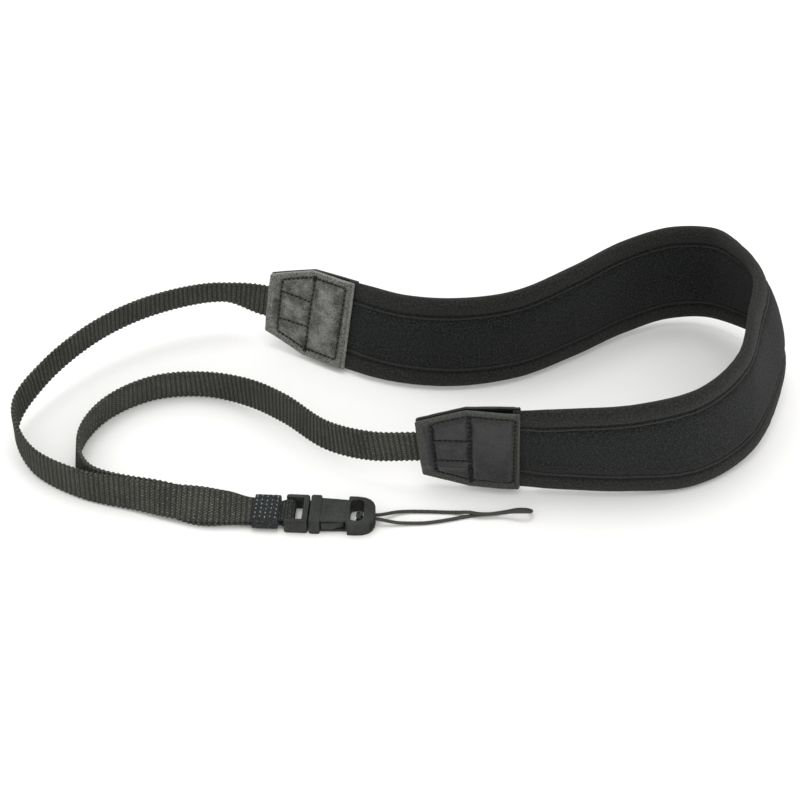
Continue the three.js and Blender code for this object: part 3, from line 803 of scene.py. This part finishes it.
def leaf_grid(tab, count=96, span=88):
    """u and v over the leaf, closer together towards its edges."""
    bend, even = np.linspace(0, math.pi, count), np.linspace(0, 1, count)
    u = TAB["long"] * (0.06 * (1 - np.cos(bend)) / 2 + 0.94 * even)
    share = 0.12 * np.cos(np.linspace(0, math.pi, span)) + 0.88 * np.linspace(1, -1, span)
    v = tab_half(tab, u)[:, None] * share
    return u, np.broadcast_to(u[:, None], v.shape), v


print("leaf grid:", leaf_grid(TABS["back"])[2].shape)


# %% The leaves
def leaf(name, tab, face, rng):
    line_u, u, v = leaf_grid(tab)
    from_edge, from_seam = from_leaf_edge(tab, u, v), distance_to_seams(tab["lines"], u, v)
    rim = np.sqrt(1 - (1 - np.clip(from_edge / LEAF["round"], 0, 1)) ** 2)
    wrinkles = sum(ripple(rng, u, v, size) * rise for size, rise in WRINKLES)
    bed = leaf_bed(u, v)
    puff = leaf_puff(tab, u, v, face) + wrinkles
    outer = bed + LEAF["thick"] * (0.5 + 0.5 * rim) + puff * rim
    inner = bed + LEAF["thick"] * 0.49 * (1 - rim)
    rings = leaf_place(tab, line_u, mirrored(v), face * np.hstack([outer, inner[:, ::-1]]))
    # The seam mark paints shade into the stitch grooves and along the hem; the edge mark paints a
    # highlight along the rounded rim.
    marks = {"seam": np.maximum(bell(from_seam, 0.0005), bell(u - LEAF["hem"], 0.0004) * 0.6),
             "border": 1 - ease(from_edge, QUILT["inset"] - 0.0006, QUILT["inset"]),
             "edge": bell(from_edge, 0.00045),
             # Lightens the puffs' tops, partly for rubbing and partly as a painted highlight.
             "rubbed": np.clip(puff / tab["puff"]["rise"], 0, 1) * ease(from_seam, 0.0004, 0.003)}
    outer_only = {mark: np.hstack([shade, shade * 0]) for mark, shade in marks.items()}
    return skin(name, rings, **outer_only)


grain = np.random.default_rng(23)
leaves = {(name, side): leaf(f"tab_{name}_{side}_quilted", tab, face, grain)
          for name, tab in TABS.items() for side, face in (("inner", 1), ("outer", -1))}

# %% The tabs' stitches
TACK = {"half": 0.0011, "apart": 0.0004, "gap": 0.2}
tab_threads = {}
for name, tab in TABS.items():
    rows = []
    edge = tab["half"] - QUILT["inset"]
    for face in (1, -1):
        surface, side = leaf_surface(tab, face), face * tab["way"]
        rows += [stitches_along(surface, *ends, QUILT["stitch"], QUILT["gap"], side)
                 for ends in tab["lines"]]
        rows += [stitches_along(surface, (u, v - TACK["half"]), (u, v + TACK["half"]),
                                QUILT["stitch"], QUILT["gap"] * TACK["gap"], side)
                 for v in (edge, -edge)
                 for u in QUILT["cross"] + TACK["apart"] * np.arange(-1, 2)]
    tab_threads[name] = sew(f"tab_{name}_stitches", rows, QUILT["stitch"], thick=0.00056)

# %% [markdown]
# ## Sleeve and buckle loop
#
# A short sleeve of stiff cloth clamps both webbings and the little loop that holds the
# buckle. Rows of short lock stitches cross it and give it its speckled look. The tube is a
# rounded band swept along its own straight line, and every stitch is real.

# %% The sleeve
SLEEVE_STITCH = {"rows": 5, "long": 0.0006, "gap": 0.0011, "reach": 0.0056}


def sleeve_frame():
    """Origin and directions of the sleeve: across, inward and along the webbings."""
    ends = strap.frames([0, SLEEVE["long"]])
    along = unit(ends["centre"][1] - ends["centre"][0])
    across = unit(ends["across"][0] - along * np.dot(ends["across"][0], along))
    inward = np.cross(along, across)
    centre = ends["centre"][0] + inward * ((SEWN["thick"] + SEWN["apart"]) / 2 - SLEEVE["lift"])
    return centre, across, inward, along


sleeve_centre, sleeve_across, sleeve_inward, sleeve_along = sleeve_frame()


def in_sleeve(x, y, z):
    """Points given in the sleeve's frame, in the row frame."""
    return (sleeve_centre + x[..., None] * sleeve_across + y[..., None] * sleeve_inward
            + z[..., None] * sleeve_along)


def sleeve_rings():
    z = np.linspace(0, 1, 40)[:, None]
    rim = np.sqrt(1 - np.clip(np.abs(2 * z - 1) * 1.12 - 0.12, 0, 1) ** 10)
    straight, nose, rise = band_outline(18, 7)
    round_edge = SLEEVE["thick"] / 2 * 0.75
    quilt = 1 + 0.02 * swing(z, 1 / SLEEVE_STITCH["rows"])
    x = straight * (SLEEVE["wide"] / 2 - round_edge) + nose * round_edge
    y = rise * SLEEVE["thick"] / 2 * (0.86 + 0.14 * rim) * quilt
    x, z = (np.broadcast_to(grid, y.shape) for grid in (x, z * SLEEVE["long"] - SLEEVE["sewn_in"]))
    return in_sleeve(x, y, z)


def sleeve_face(face):
    def surface(z, x):
        return in_sleeve(x, np.full(x.shape, face * SLEEVE["thick"] / 2), z)
    return surface


sleeve = skin("sleeve_cloth", sleeve_rings())
long, reach = SLEEVE_STITCH["long"], SLEEVE_STITCH["reach"]
rows = []
for face in (1, -1):
    for row in range(SLEEVE_STITCH["rows"]):
        z = (row + 0.5) / SLEEVE_STITCH["rows"] * SLEEVE["long"] - SLEEVE["sewn_in"]
        shift = long / 2 * (row % 2)
        ends = (z, shift - reach), (z, shift + reach - 0.0003)
        rows.append(stitches_along(sleeve_face(face), *ends, long, SLEEVE_STITCH["gap"], -face))
sleeve_threads = sew("sleeve_stitches", rows, long, thick=0.00048, sink=0.00008)

# %% [markdown]
# The buckle loop is one strip of thin webbing, folded round the buckle's bar with both
# ends inside the sleeve. Its side view is drawn as a path and given a thickness, and its
# faces are ribbed as the wide webbing's are.

# %% The buckle loop
LOOP = {"wide": 0.0088, "thick": 0.0008, "points": 90, "rib": 0.0011, "relief": 0.08}
LOOP_PATH = [  # x and z in the buckle's frame, from one end inside the sleeve to the other
    (-0.0026, 0.00305), (-0.0012, 0.0032), (0.0, 0.00375), (0.0009, 0.0041), (0.0018, 0.00405),
    (0.0025, 0.0034), (0.0027, 0.0025), (0.0025, 0.0016), (0.0018, 0.00095), (0.0009, 0.0009),
    (0.0, 0.00125), (-0.0012, 0.0018), (-0.0026, 0.00195),
]


def loop_rings():
    path = smooth_line(LOOP_PATH, np.linspace(0, 1, LOOP["points"]))
    run = unit(np.gradient(path, axis=0))
    straight, nose, rise = band_outline(10, 5)
    rib = 1 + LOOP["relief"] * swing(reached(path), LOOP["rib"])[:, None]
    round_edge = LOOP["thick"] / 2
    y = straight * (LOOP["wide"] / 2 - round_edge) + nose * round_edge
    lift = rise * round_edge * rib
    x, z = path[:, :1] - run[:, 1:] * lift, path[:, 1:] + run[:, :1] * lift
    return in_buckle(np.stack([x, np.broadcast_to(y, x.shape), z], axis=-1))


buckle_loop = skin("buckle_loop_folded", loop_rings())

# %% [markdown]
# ## Buckle
#
# The buckle is moulded in one matt plastic, and every edge of a moulding is rounded. The
# frame already has both halves in their right shape, so a copy is cleaned of the
# triangles inside its flat faces, and a bevel rounds its edges. The end bar has a few
# grip ridges that the plain solid leaves out.

# %% Moulded copies of the two halves
MOULD = {"bevel": 0.00034, "segments": 3, "sharp": 30}


def moulded(name, node):
    """A copy of a hard frame part with rounded edges."""
    build = bmesh.new()
    build.from_mesh(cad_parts[node].data)
    bmesh.ops.remove_doubles(build, verts=build.verts, dist=1e-6)
    bmesh.ops.dissolve_limit(build, angle_limit=math.radians(2), verts=build.verts,
                             edges=build.edges)
    mesh = bpy.data.meshes.new(name)
    build.to_mesh(mesh)
    build.free()
    mesh.shade_smooth()
    piece = add(name, mesh)
    bevel = piece.modifiers.new("rounded_edges", "BEVEL")
    bevel.width, bevel.segments = MOULD["bevel"], MOULD["segments"]
    bevel.limit_method, bevel.angle_limit = "ANGLE", math.radians(MOULD["sharp"])
    bevel.harden_normals = True
    print(name, "has", len(mesh.polygons), "faces before its bevel")
    return piece


clip = moulded("buckle_clip_moulded", "buckle_clip")
socket = moulded("buckle_socket_moulded", "buckle_socket")

# %% The ring's grip ridges
GRIP = {"heights": (0.0012, 0.00205, 0.0029, 0.00375), "thick": 0.0006, "rings": 26, "around": 8}
RING_SIDE = np.array([(0.0217, -0.006), (0.0261, -0.006), (0.0275, -0.0036), (0.0275, 0)])


def ring_side(share):
    """The lower half of the ring's outline, from its straight side to its tip."""
    t = share[:, None]
    a, b, c, d = RING_SIDE
    return a * (1 - t) ** 3 + 3 * b * t * (1 - t) ** 2 + 3 * c * t * t * (1 - t) + d * t ** 3


outline = ring_side(np.linspace(0.45, 0.86, GRIP["rings"]))
fade = np.sin(np.linspace(0.12, math.pi - 0.12, GRIP["rings"]))[:, None] ** 0.5
grips = []
for level, height in enumerate(GRIP["heights"]):
    line = in_buckle(np.c_[outline, np.full(len(outline), height)])
    grips.append(skin(f"buckle_grip_ridge_{level}",
                      round_rings(line, GRIP["thick"] / 2 * fade, GRIP["around"])))

# %% [markdown]
# ## Shader arithmetic
#
# Each finish is worked out from the cloth's own millimetres. Written as nodes by hand, one
# line of arithmetic is a page of code, so one small class wraps a socket and lets numbers
# be added and multiplied as in Python. Everything else comes from one method that makes a
# node, sets it up and plugs values in.

# %% Arithmetic on sockets
class Shade:
    """A number or colour inside a finish. Arithmetic on it adds Math nodes."""

    def __init__(self, finish, socket):
        self.finish, self.socket = finish, socket

    def math(self, operation, *values):
        return self.finish.node("ShaderNodeMath", {"operation": operation}, dict(enumerate(values)))

    def __add__(self, other):
        return self.math("ADD", self, other)

    def __sub__(self, other):
        return self.math("SUBTRACT", self, other)

    def __rsub__(self, other):
        return self.math("SUBTRACT", other, self)

    def __mul__(self, other):
        return self.math("MULTIPLY", self, other)

    def __pow__(self, other):
        return self.math("POWER", self, other)

    __radd__, __rmul__ = __add__, __mul__

    def wave(self, pitch):
        """A wave from 0 to 1 that repeats every pitch."""
        return self.math("COSINE", self * (TURN / pitch)) * 0.5 + 0.5

    def above(self, low, high):
        """0 below low, 1 above high, smooth between."""
        return self.finish.node("ShaderNodeMapRange", {"interpolation_type": "SMOOTHSTEP"},
                                {"Value": self, "From Min": low, "From Max": high}, "Result")


print("reflected operators:", [name for name in vars(Shade) if name.startswith("__r")])


# %% A finish and its nodes
class Finish:
    """A material, with the methods that build its nodes."""

    def __init__(self, name, **constants):
        self.material = bpy.data.materials.new(name)
        self.material.use_nodes = True
        self.tree = self.material.node_tree
        self.shader = self.tree.nodes["Principled BSDF"]
        for socket, value in constants.items():
            self.shader.inputs[socket.replace("_", " ")].default_value = value

    def node(self, kind, settings=None, values=None, output=0):
        """A node of a kind: its settings first, then its sockets' values or links."""
        node = self.tree.nodes.new(kind)
        for setting, value in (settings or {}).items():
            setattr(node, setting, value)
        for socket, value in (values or {}).items():
            if isinstance(value, Shade):
                self.tree.links.new(value.socket, node.inputs[socket])
            else:
                node.inputs[socket].default_value = value
        return Shade(self, node.outputs[output])

    def cloth(self):
        """Millimetres along and round the piece, and both as a vector."""
        both = self.node("ShaderNodeUVMap", {"uv_map": "cloth"})
        return *(self.node("ShaderNodeSeparateXYZ", None, {0: both}, axis) for axis in (0, 1)), both

    def mark(self, name):
        """How strongly a point of the piece carries a mark, such as a seam's shade."""
        return self.node("ShaderNodeAttribute", {"attribute_name": name}, None, "Fac")

    def place(self):
        """Millimetres in the frame, for moulded pieces."""
        spot = self.node("ShaderNodeTexCoord", None, None, "Object")
        return self.stretched(spot, (1000, 1000, 1000))

    def stretched(self, vector, by):
        return self.node("ShaderNodeVectorMath", {"operation": "MULTIPLY"}, {0: vector, 1: by})

    def noise(self, vector, size, detail=2.0, rough=0.5):
        """Soft noise from 0 to 1 with features of a size, in the vector's own units."""
        return self.node("ShaderNodeTexNoise", None, {
            "Vector": vector, "Scale": 1 / size, "Detail": detail, "Roughness": rough}, "Fac")

    def cells(self, vector, size):
        """How far each place is from the middle of its grain cell."""
        return self.node("ShaderNodeTexVoronoi", {"feature": "F1"}, {
            "Vector": vector, "Scale": 1 / size}, "Distance")

    def mix(self, share, low, high):
        """A colour between two colours, which are tuples or other mixes."""
        return self.node("ShaderNodeMix", {"data_type": "RGBA"}, {0: share, 6: low, 7: high}, 2)

    def feed(self, **links):
        for socket, value in links.items():
            self.tree.links.new(value.socket, self.shader.inputs[socket.replace("_", " ")])

    def bump(self, height, depth):
        """Relief of a depth in metres where height goes from 0 to 1."""
        self.feed(Normal=self.node("ShaderNodeBump", None, {
            "Height": height, "Distance": depth, "Strength": 1.0}))


print("methods of a finish:", [name for name in vars(Finish) if not name.startswith("_")])


# %% Colours
def paint(red, green, blue):
    """A display colour from 0 to 255 as the linear colour a shader takes."""
    def linear(value):
        share = value / 255
        return share / 12.92 if share <= 0.04045 else ((share + 0.055) / 1.055) ** 2.4
    return linear(red), linear(green), linear(blue), 1.0


print("mid grey in a shader:", round(paint(128, 128, 128)[0], 3))

# %% [markdown]
# ## Webbing finish
#
# Nylon webbing is dyed charcoal, and each fat rib shows rows of small yarn floats. Their glints are
# painted highlights, strongest on the rib crests, and painted shade darkens the spaces between the
# ribs. The ribs follow the same pitch as the modelled ones, so colour and relief agree. Noise takes
# the print-like evenness away.

# %% Webbing
def webbing_finish(name, rib, yarn, dark, light, glint):
    weave = Finish(name, Specular_IOR_Level=0.2)
    u, v, both = weave.cloth()
    uneven = weave.noise(both, 1.1, 2) - 0.5
    ribs = (u + uneven * 0.35).wave(rib)
    # Painted shade darkens the spaces between the ribs.
    rib_valley_shade = (1 - ribs) ** 3
    floats = (v + u * 0.6 + uneven * 0.9).wave(yarn) * (v - u * 0.6).wave(yarn)
    grit = weave.noise(both, 0.45, 1)
    patch = weave.noise(both, 12.0, 1)
    tone = (grit * 0.9 + floats * 0.35 + patch * 0.5 - 0.35).above(0.15, 0.8)
    # Painted glints on the yarn, strongest on the rib crests.
    painted_glints = (weave.noise(both, 0.7, 1, 0.7) * 0.9 + floats * 0.25).above(0.55, 0.78)
    painted_glints = painted_glints * (ribs * 0.6 + 0.2)
    body = weave.mix(painted_glints, weave.mix(tone, dark, light), glint)
    weave.feed(Base_Color=weave.mix(rib_valley_shade * 0.6, body, paint(18, 19, 17)),
               Roughness=0.95 - painted_glints * 0.15)
    weave.bump(ribs * 0.4 + floats * 0.3 + grit * 0.6, 0.00026)
    return weave.material


webbing_weave = webbing_finish("webbing_weave", WEBBING["rib"] / MM, 0.9,
                               paint(45, 46, 42), paint(78, 79, 73), paint(118, 119, 110))
loop_weave = webbing_finish("buckle_loop_weave", 1.1, 0.7,
                            paint(28, 30, 29), paint(50, 53, 51), paint(120, 124, 122))
print("webbing nodes:", len(webbing_weave.node_tree.nodes))

# %% [markdown]
# ## Knit finishes
#
# The neoprene's face is a fine black jersey: tiny staggered loops in columns, almost flat, that
# catch a faint bluish light. The binding is a smoother knit with a slightly brown cast. Both take a
# little sheen, because short fibres stand up from them. On the binding, painted shade darkens the
# stitch groove and a painted highlight lightens the narrow ridge beside it.

# %% Panel and binding
def knit_finish(name, loop, dark, light, sheen, lint):
    knit = Finish(name, Roughness=0.92, Specular_IOR_Level=0.18,
                  Sheen_Weight=sheen, Sheen_Roughness=0.45)
    u, v, both = knit.cloth()
    columns = v.wave(loop)
    loops = (u + columns * loop * 0.5).wave(loop * 0.8)
    mottle = knit.noise(both, 0.7, 2, 0.6)
    tone = knit.noise(both, 14.0, 1)
    share = (loops * 0.2 + columns * 0.1 + mottle * 2.2 - 0.8).above(0.1, 0.9)
    fuzz = knit.noise(both, 0.4, 0).above(0.64, 0.8) * lint
    cloth = knit.mix(share * (0.7 + tone * 0.6), dark, light)
    cloth = knit.mix(fuzz, cloth, paint(104, 106, 106))
    # Painted shade in the binding's stitch groove, then a painted highlight on the narrow ridge
    # beside it.
    cloth = knit.mix(knit.mark("seam") * 0.85, cloth, paint(5, 5, 5))
    knit.feed(Base_Color=knit.mix(knit.mark("lip") * 0.35, cloth, paint(66, 66, 64)))
    knit.bump(loops * 0.4 + mottle * 0.9, 0.0002)
    return knit.material


panel_knit = knit_finish("panel_knit", 0.5, paint(12, 13, 13), paint(39, 41, 41), 0.04, 0.3)
binding_knit = knit_finish("binding_knit", 0.42, paint(24, 25, 23), paint(50, 51, 48), 0.06, 0.12)
print("knit nodes:", len(panel_knit.node_tree.nodes))

# %% [markdown]
# ## Leather-cloth finish
#
# The tabs are coated cloth with a pressed grain of small cells. The back tab's inner leaf is a
# lighter copy, partly from rubbing against clothes and partly as painted light, and its high places
# are greyer and smoother, from rubbing and from a painted highlight. The front tab is a darker
# copy, partly newer and partly painted shade. The stitch grooves get painted shade and the rounded
# edges a painted highlight. One recipe makes both, with more or less of that rubbing and painted
# sheen.

# %% Leather-cloth
def leather_finish(name, dark, light, rubbed, border, wear_and_sheen, rough, shine):
    hide = Finish(name, Specular_IOR_Level=shine)
    both = hide.cloth()[-1]
    drift = hide.noise(both, 2.5, 2)
    pebbles = hide.cells(hide.stretched(both, (1.0, 1.25, 1.0)), 0.7)
    creases = hide.noise(hide.stretched(both, (0.45, 1.0, 1.0)), 1.1, 4, 0.65)
    grit = hide.noise(both, 0.5, 1)
    # The seam mark darkens the stitch grooves with painted shade, and the edge mark lightens the
    # rims with a painted highlight.
    seam, rim, high, edge = (hide.mark(name) for name in ("seam", "border", "rubbed", "edge"))
    patches = hide.noise(both, 5.0, 3, 0.6)
    # The puffs' tops and some patches turn greyer and smoother, partly from rubbing and partly as a
    # painted highlight.
    scuff_and_sheen = (patches * 0.9 + high * 0.2 + grit * 0.4 - 0.25).above(0.25, 0.85)
    body = hide.mix((drift * 0.4 + creases * 0.3 + grit * 0.4).above(0.4, 0.7), dark, light)
    body = hide.mix(rim * 0.8, body, hide.mix(grit.above(0.38, 0.6), dark, border))
    worn_and_lit = hide.mix(scuff_and_sheen * wear_and_sheen * (1.15 - pebbles * 0.7), body, rubbed)
    hide.feed(Base_Color=hide.mix(seam * 0.6, hide.mix(edge * 0.4, worn_and_lit, rubbed), paint(9, 9, 8)),
              Roughness=rough - scuff_and_sheen * 0.08 + creases * 0.08 + rim * 0.2)
    hide.bump((0.7 - pebbles) * 0.5 + creases * 0.8 + grit * 0.3, 0.00013)
    return hide.material


# A lighter, lit copy for the back tab's inner leaf, partly from rubbing; a darker, shaded copy for
# the rest.
worn_and_lit_leather = leather_finish(
    "leather_worn_and_lit", paint(36, 37, 34), paint(74, 75, 71), paint(146, 147, 141),
    paint(118, 119, 112), wear_and_sheen=0.8, rough=0.3, shine=0.5)
dark_shaded_leather = leather_finish(
    "leather_dark_shaded", paint(20, 22, 21), paint(33, 36, 35), paint(66, 69, 66),
    paint(70, 71, 63), wear_and_sheen=0.2, rough=0.27, shine=0.38)
print("leather nodes:", len(worn_and_lit_leather.node_tree.nodes))

# %% [markdown]
# ## Thread, sleeve cloth, cord and plastic
#
# Thread is smoother than cloth, so it takes a small highlight. The sleeve's cloth is dark
# and its thread a little blue. The cord is dyed as the webbing is. The buckle is matt acetal
# with the faint mottling of a textured mould.

# %% Thread and sleeve
def thread_finish(name, colour, rough=0.6):
    thread = Finish(name, Specular_IOR_Level=0.4)
    spot = thread.place()
    tone = thread.noise(spot, 1.3, 1)
    shade = tuple(part * 0.55 for part in colour[:3]) + (1.0,)
    thread.feed(Base_Color=thread.mix(tone.above(0.3, 0.7), shade, colour),
                Roughness=rough + tone * 0.2)
    thread.bump(thread.noise(thread.stretched(spot, (1, 1, 4)), 0.16, 0), 0.00005)
    return thread.material


def sleeve_finish():
    cloth = Finish("sleeve_weave", Specular_IOR_Level=0.25)
    u, v, both = cloth.cloth()
    yarn = u.wave(0.42) * v.wave(0.42)
    speck = cloth.noise(both, 0.45, 1)
    tone = (yarn * 0.5 + speck * 0.6).above(0.3, 0.9)
    base = cloth.mix(tone, paint(27, 29, 28), paint(55, 58, 56))
    cloth.feed(Base_Color=cloth.mix(speck.above(0.6, 0.72) * 0.6, base, paint(104, 112, 118)),
               Roughness=0.9 - speck * 0.1)
    cloth.bump(yarn * 0.6 + speck * 0.5, 0.00014)
    return cloth.material


seam_thread = thread_finish("seam_thread", paint(18, 18, 18))
tab_thread = thread_finish("tab_thread", paint(10, 10, 9), 0.55)
sleeve_thread = thread_finish("sleeve_thread", paint(128, 138, 146), 0.5)
sleeve_weave = sleeve_finish()
print("thread nodes:", len(seam_thread.node_tree.nodes))


# %% Cord and plastic
def cord_finish():
    braid = Finish("cord_braid_nylon", Specular_IOR_Level=0.35)
    u, v, both = braid.cloth()
    climb = v * (BRAID["pitch"] * BRAID["strands"] / (math.pi * CORD["thick"] / MM))
    strands = u.math("MAXIMUM", (u + climb).wave(BRAID["pitch"]), (u - climb).wave(BRAID["pitch"]))
    fibre = braid.noise(both, 0.18, 1)
    tone = strands * 0.7 + fibre * 0.4
    braid.feed(Base_Color=braid.mix(tone, paint(24, 24, 22), paint(66, 66, 60)),
               Roughness=0.85 - strands * 0.15)
    braid.bump(strands * 0.8 + fibre * 0.3, 0.00008)
    return braid.material


def plastic_finish():
    moulding = Finish("buckle_plastic_moulded", Specular_IOR_Level=0.3)
    spot = moulding.place()
    mottle = moulding.noise(spot, 0.55, 3, 0.6)
    pits = moulding.noise(spot, 0.14, 1)
    tone = (mottle * 0.8 + moulding.noise(spot, 6.0, 1) * 0.4).above(0.42, 0.75)
    moulding.feed(Base_Color=moulding.mix(tone, paint(22, 24, 21), paint(48, 51, 46)),
               Roughness=0.46 + mottle * 0.2)
    moulding.bump(mottle * 0.6 + pits * 0.4, 0.0001)
    return moulding.material


cord_braid_nylon, plastic = cord_finish(), plastic_finish()
print("finishes:", len(bpy.data.materials))

# %% [markdown]
# ## What each piece stands for
#
# Every plain solid is now replaced by its detailed piece. All pieces ride on the strap's one body.

# %% Dress the pieces
PIECES = [  # piece, finish, slot, frame nodes that it replaces
    (webbing_back, webbing_weave, "webbing", ["webbing_back"]),
    (webbing_front, webbing_weave, "webbing", ["webbing_front"]),
    (panel, panel_knit, "knit", ["pad_core"]),
    (binding_top, binding_knit, "binding", ["pad_binding_top"]),
    (binding_bottom, binding_knit, "binding", ["pad_binding_bottom"]),
    *[(leaf_piece, worn_and_lit_leather if which == ("back", "inner") else dark_shaded_leather, "leatherette",
       ["tab_{}_{}_leaf".format(*which)]) for which, leaf_piece in leaves.items()],
    (sleeve, sleeve_weave, "stitched_cloth", ["sleeve"]),
    (buckle_loop, loop_weave, "stitched_cloth", ["buckle_loop"]),
    (clip, plastic, "plastic", ["buckle_clip"]),
    (socket, plastic, "plastic", ["buckle_socket"]),
    (cord, cord_braid_nylon, "cord", ["cord_loop"]),
    (knot, cord_braid_nylon, "cord", ["cord_knot"]),
    *[(grip, plastic, "plastic", []) for grip in grips],
    (pad_seams, seam_thread, "binding", []),
    *[(threads, tab_thread, "leatherette", []) for threads in tab_threads.values()],
    (sleeve_threads, sleeve_thread, "stitched_cloth", []),
]
for piece, material, slot, nodes in PIECES:
    piece.data.materials.append(material)
    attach(piece, "root")
    if nodes:
        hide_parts(*nodes)

tuple(cord_line[0])
print("dressed", len(PIECES), "pieces")

# %% [markdown]
# ## Table and light
#
# The strap lies on a white sheet in a pale tent, as for a catalogue. The bright world stands
# for the tent and lights it from every side, which keeps its shadows faint. Two weak lights,
# one overhead and one in front, only round its faces a little.

# %% Stage
FLOOR = {"size": 14.0, "colour": (0.93, 0.925, 0.908, 1)}


def floor_sheet(size, finish):
    corners = np.array([(-1, -1, 0), (1, -1, 0), (1, 1, 0), (-1, 1, 0)]) * size / 2
    floor = link("floor", corners, np.array([(0, 1, 2, 3)]))
    floor.data.materials.append(finish)


def soft_light(name, at, size, power):
    light = add(name, bpy.data.lights.new(name, "AREA"))
    light.data.shape, light.data.size, light.data.energy = "DISK", size, power
    aim(light, at, (0, 0, 0))


table = Finish("white_table", Base_Color=FLOOR["colour"], Roughness=0.8, Specular_IOR_Level=0.2)
floor_sheet(FLOOR["size"], table.material)
soft_light("overhead", (-0.1, 0.14, 1.3), 0.8, 5)
soft_light("front_fill", (0.3, -1.2, 0.9), 0.9, 2)
world = bpy.data.worlds.new("studio")
world.use_nodes = True
sky = world.node_tree.nodes["Background"].inputs
sky["Color"].default_value, sky["Strength"].default_value = (1, 1, 1, 1), 1.03
bpy.context.scene.world = world
bpy.context.scene.view_settings.view_transform = "Standard"
print("stage is set")
